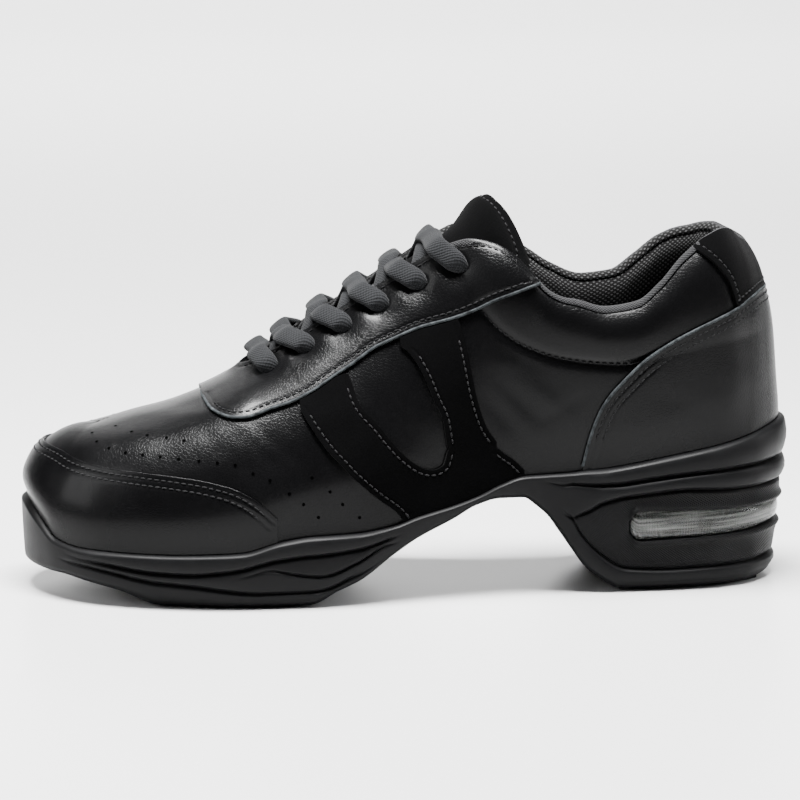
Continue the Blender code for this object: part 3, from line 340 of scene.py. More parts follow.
def shareAtHeight(side, along, height):
    # share of the rib at which it passes a height
    levels = np.linspace(0, 1, lastDetail["rows"])
    profile = skin(side * float(turnOf(along)), levels)[0][:, 2]
    return float(np.interp(height, profile, levels))


def skinSpot(side, along, height):
    return skin(side * float(turnOf(along)), shareAtHeight(side, along, height * last["collar"]))[0]


creases = [(skinSpot(row[0], row[1], row[2]), skinSpot(row[0], row[3], row[4]), row[5] * 0.001,
            row[6] * 0.0007) for row in creaseRows]


def nearLine(points, a, b):
    # distance to a straight line between two spots, and how far along it
    line = b - a
    t = np.clip(((points - a) @ line) / (line @ line), 0, 1)
    return np.linalg.norm(points - (a + t[..., None] * line), axis=-1), t


def softness(points):
    # how far the leather stands off the last
    lift = np.zeros(points.shape[:-1])
    for a, b, width, depth in creases:
        distance, t = nearLine(points, a, b)
        lift += depth * np.exp(-(distance / width) ** 2) * np.sin(np.pi * (0.12 + 0.76 * t))
    return lift


# eyelets, as stations of the throat; the lace pulls the leather down round each
eyeletRow = {"along": (0.320, 0.367, 0.414, 0.461, 0.509, 0.560), "inset": 0.009, "hole": 0.0026,
             "dip": -0.0007, "dipWidth": 0.0052, "swell": 0.0007, "swellWidth": 0.0050}


def eyeletShare(side, along, inset):
    angle = side * float(turnOf(along))
    size = float(np.interp(angle, ribAngles, ribLengths))
    return angle, 1 - inset / size


eyeletSpots = {side: [skin(*eyeletShare(side, along, eyeletRow["inset"])) for along in
                      eyeletRow["along"]] for side in (lateral, medial)}


def laceBuckles(points):
    lift = np.zeros(points.shape[:-1])
    for side in (lateral, medial):
        spots = [spot for spot, normal in eyeletSpots[side]]
        for spot in spots:
            distance = np.linalg.norm(points - spot, axis=-1)
            lift += eyeletRow["dip"] * np.exp(-(distance / eyeletRow["dipWidth"]) ** 2)
        for one, other in zip(spots[:-1], spots[1:]):
            distance = np.linalg.norm(points - (one + other) / 2, axis=-1)
            lift += eyeletRow["swell"] * np.exp(-(distance / eyeletRow["swellWidth"]) ** 2)
    return lift



def newLook(name, colour, roughness, **more):
    look = bpy.data.materials.new(name)
    look.use_nodes = True
    shader = look.node_tree.nodes["Principled BSDF"]
    shader.inputs["Base Color"].default_value = (*colour, 1)
    shader.inputs["Roughness"].default_value = roughness
    for key, value in more.items():
        shader.inputs[key.replace("_", " ")].default_value = value
    return look


def put(look, kind, values=None, **settings):
    node = look.node_tree.nodes.new("ShaderNode" + kind)
    for key, value in settings.items():
        setattr(node, key, value)
    for key, value in (values or {}).items():
        if hasattr(value, "is_output"):
            look.node_tree.links.new(value, node.inputs[key])
        else:
            node.inputs[key].default_value = value
    return node


def place(look, source):
    # Object coordinates, or the piece's own UV map
    node = put(look, "TexCoord") if source == "Object" else put(look, "UVMap")
    return node.outputs["Object" if source == "Object" else "UV"]


def ramp(look, factor, low, high, start, end):
    node = put(look, "MapRange", {"Value": factor, "From Min": start, "From Max": end,
                                  "To Min": low, "To Max": high})
    return node.outputs["Result"]


def plug(look, output, socket):
    shader = look.node_tree.nodes["Principled BSDF"]
    look.node_tree.links.new(output, shader.inputs[socket])


def sums(look, kind, a, b):
    return put(look, "Math", {0: a, 1: b}, operation=kind).outputs[0]


def tint(look, factor, dark, light):
    node = put(look, "Mix", {"Factor": factor, "A": (*dark, 1), "B": (*light, 1)}, data_type="RGBA")
    plug(look, node.outputs[2], "Base Color")


def relief(look, height, strength, distance):
    bump = put(look, "Bump", {"Height": height, "Strength": strength, "Distance": distance})
    plug(look, bump.outputs["Normal"], "Normal")


def leatherLook(name, colour, grain, depth, gloss, wear):
    # pebbled grain out of two cell sizes, bent by a slow noise, with lighter worn patches;
    # gloss is the roughness of the finish
    look = newLook(name, colour, gloss, Coat_Weight=0.08, Coat_Roughness=0.18,
                   Specular_IOR_Level=0.06)
    spot = place(look, "Object")
    bend = put(look, "TexNoise", {"Vector": spot, "Scale": 260.0, "Detail": 2.0})
    shifted = put(look, "VectorMath", {0: bend.outputs["Color"], 1: (0.0012, 0.0012, 0.0012)},
                  operation="MULTIPLY")
    moved = put(look, "VectorMath", {0: spot, 1: shifted.outputs[0]}, operation="ADD").outputs[0]
    cells = put(look, "TexVoronoi", {"Vector": moved, "Scale": grain}, feature="DISTANCE_TO_EDGE")
    fine = put(look, "TexVoronoi", {"Vector": moved, "Scale": grain * 2.3}, feature="F1")
    rise = put(look, "TexNoise", {"Vector": spot, "Scale": 90.0, "Detail": 4.0})
    valley = ramp(look, cells.outputs["Distance"], 0.0, 1.0, 0.0, 0.16)
    height = sums(look, "ADD", valley, sums(look, "MULTIPLY", fine.outputs["Distance"], 0.35))
    height = sums(look, "ADD", height, sums(look, "MULTIPLY", rise.outputs["Fac"], 1.2))
    drawn = put(look, "Mapping", {"Vector": spot, "Rotation": (0, 0.5, 0),
                                  "Scale": (520.0, 300.0, 110.0)})
    lines = put(look, "TexNoise", {"Vector": drawn.outputs[0], "Scale": 1.0, "Detail": 3.0})
    height = sums(look, "ADD", height, sums(look, "MULTIPLY", lines.outputs["Fac"], 0.9))
    relief(look, height, 0.5, depth)
    worn = put(look, "TexNoise", {"Vector": spot, "Scale": 30.0, "Detail": 2.0, "Roughness": 0.5})
    tint(look, ramp(look, worn.outputs["Fac"], 0.0, 1.0, 0.3, 0.8), colour,
         tuple(c * wear for c in colour))
    plug(look, ramp(look, worn.outputs["Fac"], gloss - 0.03, gloss + 0.04, 0.25, 0.75), "Roughness")
    return look


def suedeLook(name, colour):
    look = newLook(name, colour, 0.95, Sheen_Weight=0.012, Sheen_Roughness=0.5,
                   Specular_IOR_Level=0.015)
    spot = place(look, "Object")
    nap = put(look, "TexNoise", {"Vector": spot, "Scale": 1500.0, "Detail": 5.0, "Roughness": 0.7})
    brushed = put(look, "TexNoise", {"Vector": spot, "Scale": 55.0, "Detail": 5.0,
                                     "Roughness": 0.6, "Distortion": 0.6})
    relief(look, nap.outputs["Fac"], 0.6, 0.00025)
    mixed = sums(look, "ADD", sums(look, "MULTIPLY", nap.outputs["Fac"], 0.5),
                 sums(look, "MULTIPLY", brushed.outputs["Fac"], 0.6))
    tint(look, ramp(look, mixed, 0.0, 1.0, 0.35, 0.8), tuple(c * 0.5 for c in colour),
         tuple(c * 2.2 for c in colour))
    return look


def rubberLook(name, colour, roughness):
    # fine moulded matt skin; the ribbed attribute turns on the slanting lines round the window
    look = newLook(name, colour, roughness, Specular_IOR_Level=0.065)
    spot = place(look, "Object")
    skinNoise = put(look, "TexNoise", {"Vector": spot, "Scale": 900.0, "Detail": 4.0})
    slow = put(look, "TexNoise", {"Vector": spot, "Scale": 60.0, "Detail": 4.0})
    ribbed = put(look, "Attribute", attribute_name="ribbed").outputs["Fac"]
    slant = put(look, "Mapping", {"Vector": place(look, "UV"), "Rotation": (0, 0, 0.9)})
    lines = put(look, "TexWave", {"Vector": slant.outputs[0], "Scale": 480.0, "Distortion": 0.0},
                wave_type="BANDS", bands_direction="X")
    height = sums(look, "ADD", sums(look, "MULTIPLY", skinNoise.outputs["Fac"], 0.25),
                  sums(look, "MULTIPLY", sums(look, "MULTIPLY", lines.outputs["Fac"], ribbed), 3.0))
    relief(look, height, 0.5, 0.00022)
    tint(look, ramp(look, slow.outputs["Fac"], 0.0, 1.0, 0.35, 0.7), colour,
         tuple(c * 1.35 for c in colour))
    plug(look, ramp(look, slow.outputs["Fac"], roughness - 0.05, roughness + 0.08, 0.3, 0.7),
         "Roughness")
    return look


def meshLook(name, base, dot, pitch):
    # knitted lining: staggered raised dots on a dark ground, in the piece's own UV metres
    look = newLook(name, base, 0.85, Sheen_Weight=0.04, Specular_IOR_Level=0.1)
    flat = place(look, "UV")
    parts = put(look, "SeparateXYZ", {"Vector": flat})
    u = sums(look, "MULTIPLY", parts.outputs[0], math.pi / pitch)
    v = sums(look, "MULTIPLY", parts.outputs[1], math.pi / (pitch * 0.8))
    both = sums(look, "MULTIPLY", sums(look, "SINE", u, 0.0), sums(look, "SINE", v, 0.0))
    dotMask = ramp(look, both, 0.0, 1.0, 0.15, 0.6)
    tint(look, dotMask, base, dot)
    relief(look, dotMask, 0.8, 0.0004)
    return look


def wovenLook(name, dark, light, across, alongPitch, roughness=0.8):
    # plain weave from two crossed waves in the piece's own UV metres
    look = newLook(name, dark, roughness, Sheen_Weight=0.03, Specular_IOR_Level=0.1)
    parts = put(look, "SeparateXYZ", {"Vector": place(look, "UV")})
    u = sums(look, "MULTIPLY", parts.outputs[0], math.tau / across)
    v = sums(look, "MULTIPLY", parts.outputs[1], math.tau / alongPitch)
    both = sums(look, "MULTIPLY", sums(look, "SINE", u, 0.0), sums(look, "SINE", v, 0.0))
    height = ramp(look, both, 0.0, 1.0, -1.0, 1.0)
    fuzz = put(look, "TexNoise", {"Vector": place(look, "Object"), "Scale": 1400.0, "Detail": 3.0})
    mixed = sums(look, "ADD", sums(look, "MULTIPLY", height, 0.75),
                 sums(look, "MULTIPLY", fuzz.outputs["Fac"], 0.5))
    relief(look, mixed, 0.8, 0.00035)
    tint(look, ramp(look, mixed, 0.0, 1.0, 0.2, 0.95), dark, light)
    return look


leatherBlack = (0.0010, 0.0010, 0.0011)
vampLeather = leatherLook("vampLeather", leatherBlack, 1000.0, 0.00006, 0.29, 1.6)
trimLeather = leatherLook("trimLeather", leatherBlack, 1050.0, 0.00007, 0.28, 1.6)
toeLeather = leatherLook("toeLeather", leatherBlack, 1150.0, 0.00005, 0.27, 1.5)
blackSuede = suedeLook("blackSuede", (0.0004, 0.0004, 0.00045))
soleRubber = rubberLook("soleRubber", (0.0028, 0.0028, 0.0030), 0.44)
liningMesh = meshLook("liningMesh", (0.0008, 0.0008, 0.0008), (0.03, 0.03, 0.03), 0.0011)
bindingTape = wovenLook("bindingTape", (0.0012, 0.0012, 0.0013), (0.02, 0.02, 0.021), 0.0011,
                        0.0009)
laceWeave = wovenLook("laceWeave", (0.0008, 0.0009, 0.0011), (0.0075, 0.0080, 0.0090), 0.0013,
                      0.0010)
thread = wovenLook("thread", (0.001, 0.001, 0.0011), (0.007, 0.007, 0.0075), 0.0004, 0.0004)
rawEdge = newLook("rawEdge", (0.04, 0.044, 0.046), 0.8, Specular_IOR_Level=0.1)
# flat black without reflection: painted shade that stands for the inside of the punched pinholes
pinholeShade = newLook("pinholeShade", (0.0003, 0.0003, 0.0003), 0.95, Specular_IOR_Level=0.0)
clearGel = newLook("clearGel", (0.7, 0.71, 0.7), 0.06, Transmission_Weight=0.97, IOR=1.2)
gelRibs = newLook("gelRibs", (0.1, 0.1, 0.1), 0.3, Coat_Weight=0.1, Coat_Roughness=0.1,
                  Specular_IOR_Level=0.12)
insoleCloth = wovenLook("insoleCloth", (0.002, 0.002, 0.0022), (0.014, 0.014, 0.015), 0.0012,
                        0.0012)


def edgeWear(look):
    spot = place(look, "Object")
    fray = put(look, "TexNoise", {"Vector": spot, "Scale": 420.0, "Detail": 5.0, "Roughness": 0.7})
    tint(look, ramp(look, fray.outputs["Fac"], 0.0, 1.0, 0.35, 0.65), (0.002, 0.0025, 0.003),
         (0.030, 0.034, 0.036))
    relief(look, fray.outputs["Fac"], 0.7, 0.0002)


edgeWear(rawEdge)


def gelStreaks(look):
    # long pale streaks, as light runs along the inside of the clear tube
    flat = put(look, "Mapping", {"Vector": place(look, "UV"), "Scale": (26.0, 620.0, 1.0)})
    streak = put(look, "TexNoise", {"Vector": flat.outputs[0], "Scale": 1.0, "Detail": 4.0,
                                    "Roughness": 0.6})
    tint(look, ramp(look, streak.outputs["Fac"], 0.0, 1.0, 0.42, 0.72), (0.005, 0.005, 0.005),
         (0.26, 0.26, 0.255))
    wave = put(look, "TexWave", {"Vector": place(look, "UV"), "Scale": 330.0, "Distortion": 0.3},
               wave_type="BANDS", bands_direction="X")
    relief(look, wave.outputs["Fac"], 0.5, 0.0003)


gelStreaks(gelRibs)
print("finishes mixed")


gridSizes = {"weld": 0.00001, "flat": 0.000001}
edgeAngle = math.radians(50)


def gridPiece(name, spots, uv=None, looks=(), facing=None, weld=False, drop=None, marks=None):
    # spots is an array of places, columns by rows, that a bmesh grid is laid on;
    # facing is the way its outer side looks at each place
    columns, rows = spots.shape[0] - 1, spots.shape[1] - 1
    if facing is None:
        facing = spots - spots.mean(axis=1, keepdims=True)
    crossed = np.cross(np.gradient(spots, axis=0), np.gradient(spots, axis=1))
    flip = float((crossed * facing).sum()) < 0
    mesh = bmesh.new()
    bmesh.ops.create_grid(mesh, x_segments=columns, y_segments=rows, size=0.5)
    uvLayer = mesh.loops.layers.uv.new("UVMap")
    marked = mesh.verts.layers.float.new("ribbed") if marks is not None else None
    index = {}
    for vert in mesh.verts:
        i, j = round((vert.co.x + 0.5) * columns), round((vert.co.y + 0.5) * rows)
        index[vert] = (i, j)
    for vert, (i, j) in index.items():
        vert.co = spots[i, j]
        if marked is not None:
            vert[marked] = float(marks[i, j])
    if uv is not None:
        for face in mesh.faces:
            for loop in face.loops:
                i, j = index[loop.vert]
                loop[uvLayer].uv = uv[i, j]
    if drop is not None:
        gone = [face for face in mesh.faces if drop(face.calc_center_median())]
        bmesh.ops.delete(mesh, geom=gone, context="FACES")
    if weld:
        bmesh.ops.remove_doubles(mesh, verts=mesh.verts, dist=gridSizes["weld"])
    bmesh.ops.dissolve_degenerate(mesh, dist=gridSizes["flat"], edges=mesh.edges)
    if flip:
        bmesh.ops.reverse_faces(mesh, faces=mesh.faces)
    return asObject(mesh, name, looks)


def asObject(mesh, name, looks):
    data = bpy.data.meshes.new(name)
    mesh.to_mesh(data)
    mesh.free()
    data.shade_smooth()
    for look in looks:
        data.materials.append(look)
    made = bpy.data.objects.new(name, data)
    bpy.context.scene.collection.objects.link(made)
    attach(made, "root")
    return made


def thicken(piece, depth, rounding=0.00025, rim=1):
    # the sheet gets its leather thickness inwards, with a softly broken cut edge
    solid = piece.modifiers.new("thickness", "SOLIDIFY")
    solid.thickness = depth
    solid.offset = -1
    solid.use_even_offset = False
    solid.material_offset_rim = rim
    if rounding:
        soft = piece.modifiers.new("edge", "BEVEL")
        soft.width = rounding
        soft.segments = 2
        soft.limit_method = "ANGLE"
        soft.angle_limit = edgeAngle
        soft.harden_normals = False
    return piece


def closeEnds(piece):
    mesh = bmesh.new()
    mesh.from_mesh(piece.data)
    rims = [edge for edge in mesh.edges if edge.is_boundary]
    bmesh.ops.holes_fill(mesh, edges=rims, sides=0)
    bmesh.ops.recalc_face_normals(mesh, faces=mesh.faces)
    mesh.to_mesh(piece.data)
    mesh.free()
    piece.data.shade_smooth()


def measured(spots):
    # UV in metres along and up a grid of spots
    u = np.concatenate([np.zeros((1, spots.shape[1])),
                        np.cumsum(np.linalg.norm(np.diff(spots, axis=0), axis=2), axis=0)])
    v = np.concatenate([np.zeros((spots.shape[0], 1)),
                        np.cumsum(np.linalg.norm(np.diff(spots, axis=1), axis=2), axis=1)], axis=1)
    return np.stack([u.mean(axis=1)[:, None].repeat(spots.shape[1], 1), v], axis=2)


def spread(points, pitch):
    # even steps along a line of points
    points = np.asarray(points, float)
    run = np.concatenate([[0], np.cumsum(np.linalg.norm(np.diff(points, axis=0), axis=1))])
    at = np.linspace(0, run[-1], max(2, int(round(run[-1] / pitch)) + 1))
    return np.column_stack([np.interp(at, run, points[:, k]) for k in range(3)])


# one stitch is a short thread bead; a seam is a row of them
stitchSizes = {"pitch": 0.0024, "length": 0.0019, "width": 0.00062, "rise": 0.00034,
               "sink": 0.00005}


def sewSeam(mesh, points, normals, sink):
    path = spread(points, stitchSizes["pitch"])
    source = np.asarray(points, float)
    for one, other in zip(path[:-1], path[1:]):
        middle = (one + other) / 2
        normal = Vector(normals[int(np.argmin(np.linalg.norm(source - middle, axis=1)))])
        forward = Vector(other - one).normalized()
        sideways = normal.cross(forward).normalized()
        upward = forward.cross(sideways)
        turned = Matrix((forward, sideways, upward)).transposed().to_4x4()
        turned.translation = Vector(middle) - normal * sink
        scale = Matrix.Diagonal((stitchSizes["length"] / 2, stitchSizes["width"] / 2,
                                 stitchSizes["rise"], 1))
        bmesh.ops.create_uvsphere(mesh, u_segments=6, v_segments=4, radius=1.0,
                                  matrix=turned @ scale)


def offsetLine(points, normals, inwards):
    # a line on the leather a set distance inside an edge
    tangents = np.gradient(points, axis=0)
    tangents /= np.maximum(np.linalg.norm(tangents, axis=1), 1e-9)[:, None]
    across = np.cross(normals, tangents)
    across /= np.linalg.norm(across, axis=1)[:, None]
    return points + across * inwards


cutEdgeSizes = {"width": 0.00055, "rise": 0.0003, "stretch": 1.6, "sink": 0.0002, "round": 8}


def cutEdge(name, points, normals):
    # the pale cut edge of a panel, as a thin bead along it
    points = np.asarray(points, float)
    ahead = np.gradient(points, axis=0)
    ahead /= np.maximum(np.linalg.norm(ahead, axis=1), 1e-9)[:, None]
    across = np.cross(ahead, normals)
    across /= np.linalg.norm(across, axis=1)[:, None]
    grid = np.zeros((len(points), cutEdgeSizes["round"] + 1, 3))
    for k in range(cutEdgeSizes["round"] + 1):
        angle = math.tau * k / cutEdgeSizes["round"]
        grid[:, k] = (points - normals * cutEdgeSizes["sink"]
                      + across * cutEdgeSizes["width"] * math.cos(angle)
                      + normals * cutEdgeSizes["rise"] * math.sin(angle)
                      * cutEdgeSizes["stretch"])
    piece = gridPiece(name, grid, measured(grid), (rawEdge,), weld=True)
    closeEnds(piece)
    return piece


def distanceTo(spots, line, chunkSize=40):
    # distance of every spot of a grid to the nearest point of a line
    flat = spots.reshape(-1, 3)
    best = np.full(len(flat), 1e9)
    for start in range(0, len(line), chunkSize):
        chunk = line[start:start + chunkSize]
        gaps = np.linalg.norm(flat[:, None, :] - chunk[None, :, :], axis=2)
        best = np.minimum(best, gaps.min(axis=1))
    return best.reshape(spots.shape[:-1])



upperSizes = {"columns": 600, "rows": 72, "wall": 0.0016, "roll": 0.0018, "rollSpan": 0.004,
              "fadeFrom": 0.90, "fadeSpan": 0.08, "seamDip": -0.0008, "seamWidth": 0.0016,
              "footBand": 0.012, "footLift": 0.0002, "edge": 0.0003}
# lower seam of the padded collar: along, height
padSeamRows = ((0.560, 0.86), (0.585, 0.800), (0.6075, 0.746), (0.6415, 0.698), (0.687, 0.664),
               (0.732, 0.650), (0.77, 0.6455), (0.80, 0.658), (0.83, 0.672), (0.90, 0.70),
               (1.0, 0.72))


def padSeamShares(angles):
    shares = []
    for angle in angles:
        along = float(alongOf(angle))
        side = lateral if angle < 0 else medial
        height = read(padSeamRows, 1, along) * last["collar"]
        shares.append(shareAtHeight(side, along, height))
    return np.array(shares)


seamAngles = ribAngles[::4]
seamShares = padSeamShares(seamAngles)


def collarRoll(angles, shares):
    # the padded collar swells between its lower seam and the topline
    angles = np.asarray(angles, float)
    lengths = np.interp(angles, ribAngles, ribLengths)
    seam = np.interp(angles, seamAngles, seamShares)
    span = np.maximum((1 - seam) * lengths, upperSizes["rollSpan"])
    rise = np.clip(1 - (1 - shares) * lengths[:, None] / span[:, None], 0, 1)
    padShare = paddedShare(alongOf(angles))
    faded = np.clip((alongOf(angles) - upperSizes["fadeFrom"]) / upperSizes["fadeSpan"], 0, 1)
    heelFade = 1 - faded ** 1.5
    return upperSizes["roll"] * np.sin(np.pi * rise) ** 0.9 * (padShare * heelFade)[:, None]


def buildUpper():
    angles = upperAngles(upperSizes["columns"])
    shares = np.linspace(0, 1, upperSizes["rows"] + 1)
    points, normals = skin(angles[:, None], shares[None, :])
    lengths = np.interp(angles, ribAngles, ribLengths)
    seam = np.interp(angles, seamAngles, seamShares)
    fromSeam = (shares[None, :] - seam[:, None]) * lengths[:, None]
    padShare = paddedShare(alongOf(angles))
    dip = upperSizes["seamDip"] * np.exp(-(fromSeam / upperSizes["seamWidth"]) ** 2)
    lift = collarRoll(angles, shares[None, :]) + dip * padShare[:, None] + softness(points)
    # flat at the foot, where the sole grips it
    gripped = shares[None, :] * lengths[:, None] < upperSizes["footBand"]
    lift = np.where(gripped, np.minimum(lift, upperSizes["footLift"]), lift)
    spots = points + normals * lift[..., None]
    piece = gridPiece("upper_leather", spots, measured(points), (vampLeather,), normals, weld=True)
    thicken(piece, upperSizes["wall"], upperSizes["edge"], rim=0)
    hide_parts("upper")
    return piece


buildUpper()


liningSizes = {"columns": 480, "rows": 56, "swellFrom": 0.56, "swellSpan": 0.06}


def padDepth(angles, shares, lengths):
    fromTop = (1 - shares)[None, :] * lengths[:, None]
    fade = np.clip(fromTop / last["padDrop"], 0, 1)
    collarShare = np.clip((alongOf(angles) - liningSizes["swellFrom"])
                          / liningSizes["swellSpan"], 0, 1)
    return last["wall"] + last["padding"] * collarShare[:, None] * np.sin(math.pi * fade ** 0.6)


def buildLining():
    angles = upperAngles(liningSizes["columns"])
    shares = np.linspace(0, 1, liningSizes["rows"] + 1)
    points, normals = skin(angles[:, None], shares[None, :])
    lengths = np.interp(angles, ribAngles, ribLengths)
    depth = padDepth(angles, shares, lengths)
    spots = points - normals * depth[..., None]
    piece = gridPiece("collar_lining", spots, measured(points), (liningMesh,), -normals, weld=True)
    return piece


buildLining()
print("upper and lining made")

# every stitch of the upper goes in here
seamWork = bmesh.new()


def keepStitches(points, normals, sink=stitchSizes["sink"]):
    part = bmesh.new()
    sewSeam(part, points, normals, sink)
    data = bpy.data.meshes.new("seamPart")
    part.to_mesh(data)
    part.free()
    seamWork.from_mesh(data)
    bpy.data.meshes.remove(data)



toeCapRows = ((0.0, 0.404), (0.03, 0.396), (0.06, 0.383), (0.10, 0.373), (0.15, 0.367),
              (0.21, 0.358), (0.26, 0.338), (0.287, 0.312), (0.30, 0.292), (0.32, 0.252))
eyestayRows = ((0.235, 0.541), (0.242, 0.525), (0.25, 0.517), (0.268, 0.511), (0.287, 0.514),
               (0.313, 0.533), (0.343, 0.555), (0.37, 0.584), (0.396, 0.62), (0.42, 0.652),
               (0.45, 0.696), (0.48, 0.726), (0.506, 0.75), (0.551, 0.778), (0.578, 0.80),
               (0.604, 0.827), (0.626, 0.845), (0.642, 0.857), (0.658, 0.866))
counterRows = ((0.716, 0.36), (0.726, 0.45), (0.742, 0.535), (0.767, 0.60), (0.797, 0.66),
               (0.835, 0.712), (0.87, 0.748), (0.91, 0.782), (0.945, 0.81), (0.972, 0.822),
               (1.0, 0.826))
heelTabRows = ((0.862, 0.952), (0.875, 0.931), (0.893, 0.896), (0.905, 0.86), (0.915, 0.80),
               (0.925, 0.76), (0.945, 0.70), (0.97, 0.70), (1.0, 0.70))
# along, front edge, upper edge
saddleFrontRows = (
    (0.353, 0.535, 0.56), (0.365, 0.492, 0.571), (0.386, 0.428, 0.598), (0.4015, 0.392, 0.62),
    (0.4135, 0.363, 0.628), (0.426, 0.338, 0.554), (0.45, 0.292, 0.492), (0.475, 0.25, 0.426),
    (0.493, 0.20, 0.391), (0.511, 0.20, 0.369), (0.52, 0.20, 0.366), (0.5335, 0.20, 0.377),
    (0.5404, 0.20, 0.42), (0.603, 0.20, 0.42), (0.612, 0.20, 0.405), (0.6245, 0.20, 0.386),
    (0.64, 0.20, 0.354))
saddleBackRows = (
    (0.482, 0.702, 0.722), (0.493, 0.683, 0.732), (0.509, 0.628, 0.745), (0.522, 0.558, 0.753),
    (0.5335, 0.503, 0.76), (0.5404, 0.42, 0.764), (0.555, 0.42, 0.774), (0.5605, 0.42, 0.74),
    (0.566, 0.42, 0.69), (0.577, 0.42, 0.564), (0.59, 0.42, 0.479), (0.603, 0.42, 0.437))

panelSizes = {"thickness": 0.0011, "lift": 0.0012, "grooveDepth": 0.00022,
              "grooveWidth": 0.0005, "groovePitch": 0.0004, "rimGap": 0.0002}


def edgeHeight(rows, column=1):
    return lambda side, along: read(rows, column, along) * last["collar"]


def rimHeight(side, along):
    return rimAt(along) + panelSizes["rimGap"]


def panelSpots(side, angles, foot, top, rows, extra=None):
    # grid of places of one panel strip, with the share of each on its rib
    shares = np.zeros((len(angles), rows + 1))
    for i, angle in enumerate(angles):
        along = float(alongOf(angle))
        low = shareAtHeight(side, along, foot(side, along))
        high = 1.0 if top is None else shareAtHeight(side, along, top(side, along))
        shares[i] = np.linspace(low, max(high, low), rows + 1)
    points, normals = skin(np.asarray(angles)[:, None], shares)
    lift = panelSizes["lift"] + softness(points) + collarRoll(angles, shares)
    if extra is not None:
        lift = lift + extra(points)
    return points + normals * lift[..., None], normals


def panelRound(angles, foot, top, rows):
    # one panel grid that runs over both sides, rib by rib
    ribs = [panelSpots(lateral if angle < 0 else medial, [angle], foot, top, rows)
            for angle in angles]
    return np.array([spots[0] for spots, normals in ribs]), np.array(
        [normals[0] for spots, normals in ribs])


def seamInside(edge, edgeNormal, inner, inset):
    # the inset with the sign that leads from an edge towards the panel's inner row
    misses = [np.linalg.norm(offsetLine(edge, edgeNormal, way * inset) - inner, axis=1).mean()
              for way in (1, -1)]
    return inset if misses[0] <= misses[1] else -inset


def ontoPanel(line, spots, normals):
    # a seam line laid down on the panel that it runs over
    flat, facing = spots.reshape(-1, 3), normals.reshape(-1, 3)
    nearest = [int(np.argmin(((flat - point) ** 2).sum(axis=1))) for point in line]
    up = facing[nearest]
    return line - up * ((line - flat[nearest]) * up).sum(axis=1)[:, None], up


def seamGroove(spots, normals, lines):
    for line in lines:
        gap = distanceTo(spots, spread(line, panelSizes["groovePitch"]))
        dip = panelSizes["grooveDepth"] * np.exp(-(gap / panelSizes["grooveWidth"]) ** 2)
        spots = spots - normals * dip[..., None]
    return spots


toeCapSizes = {"last": 0.32, "columns": 190, "rows": 40, "seams": (0.0019, 0.0043)}


def buildToeCap():
    reach = np.linspace(0, float(turnOf(toeCapSizes["last"])), toeCapSizes["columns"])
    angles = np.concatenate([-reach[::-1], reach[1:]])
    spots, normals = panelRound(angles, rimHeight, edgeHeight(toeCapRows), toeCapSizes["rows"])
    edge, edgeNormal = spots[:, -1], normals[:, -1]
    way = np.sign(seamInside(edge, edgeNormal, spots[:, -6], toeCapSizes["seams"][0]))
    seams = [offsetLine(edge, edgeNormal, way * inset) for inset in toeCapSizes["seams"]]
    for seam in seams:
        keepStitches(*ontoPanel(seam[4:-4], spots, normals))
    spots = seamGroove(spots, normals, seams)
    piece = gridPiece("toe_cap_leather", spots, measured(spots), (toeLeather, trimLeather), normals)
    thicken(piece, panelSizes["thickness"])
    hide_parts("toe_cap")


buildToeCap()

eyestaySizes = {"first": 0.235, "last": 0.658, "columns": 210, "rows": 44, "seam": 0.0021,
                "punch": 0.0004, "punchReach": 0.0016, "weld": 0.00002}


def buildEyestay():
    turns = np.linspace(float(turnOf(eyestaySizes["first"])), float(turnOf(eyestaySizes["last"])),
                        eyestaySizes["columns"])
    throat = float(turnOf(last["throat"]))
    turns[np.argmin(abs(turns - throat))] = throat
    holes = [Vector(spot) for side in (lateral, medial) for spot, normal in eyeletSpots[side]]
    parts = []
    for side in (lateral, medial):
        spots, normals = panelSpots(side, side * turns, edgeHeight(eyestayRows), None,
                                    eyestaySizes["rows"], laceBuckles)
        edge, edgeNormal = spots[:, 0], normals[:, 0]
        inset = seamInside(edge, edgeNormal, spots[:, 4], eyestaySizes["seam"])
        seam = offsetLine(edge, edgeNormal, inset)
        opened = turns >= throat - 1e-9
        topSeam = offsetLine(spots[opened, -1], normals[opened, -1], -inset * 1.05)
        keepStitches(*ontoPanel(seam[3:-8], spots, normals))
        keepStitches(*ontoPanel(topSeam[4:-12], spots, normals))
        parts.append((seamGroove(spots, normals, [seam, topSeam]), normals))

    def punched(centre):
        reach = eyeletRow["hole"] + eyestaySizes["punch"]
        return any((centre - hole).length < reach for hole in holes)

    mesh = bmesh.new()
    for spots, normals in parts:
        half = gridPiece("eyestayHalf", spots, measured(spots), (trimLeather,), normals,
                         drop=punched)
        mesh.from_mesh(half.data)
        bpy.data.objects.remove(half)
    bmesh.ops.remove_doubles(mesh, verts=mesh.verts, dist=eyestaySizes["weld"])
    # the punched holes are drawn to a true round
    for vert in mesh.verts:
        if vert.is_boundary:
            for hole in holes:
                away = vert.co - hole
                if away.length < eyeletRow["hole"] + eyestaySizes["punchReach"]:
                    normal = vert.normal
                    flat = away - normal * away.dot(normal)
                    if flat.length > 1e-6:
                        vert.co += flat.normalized() * (eyeletRow["hole"] - flat.length)
    piece = asObject(mesh, "eyestay_leather", (trimLeather,))
    thicken(piece, panelSizes["thickness"], rim=0)
    edges = [(spots[:, 0], normals[:, 0]) for spots, normals in parts]
    cutEdge("eyestay_cut_edge", *(np.vstack([edges[0][k][::-1], edges[1][k][1:]]) for k in (0, 1)))
    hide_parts("eyestay")


buildEyestay()


def heelAngles(first, count):
    # lateral side, round the heel and back up the medial side, as running turn angles
    reach = np.linspace(float(turnOf(first)), math.pi, count)
    return np.concatenate([-reach, reach[-2::-1]])


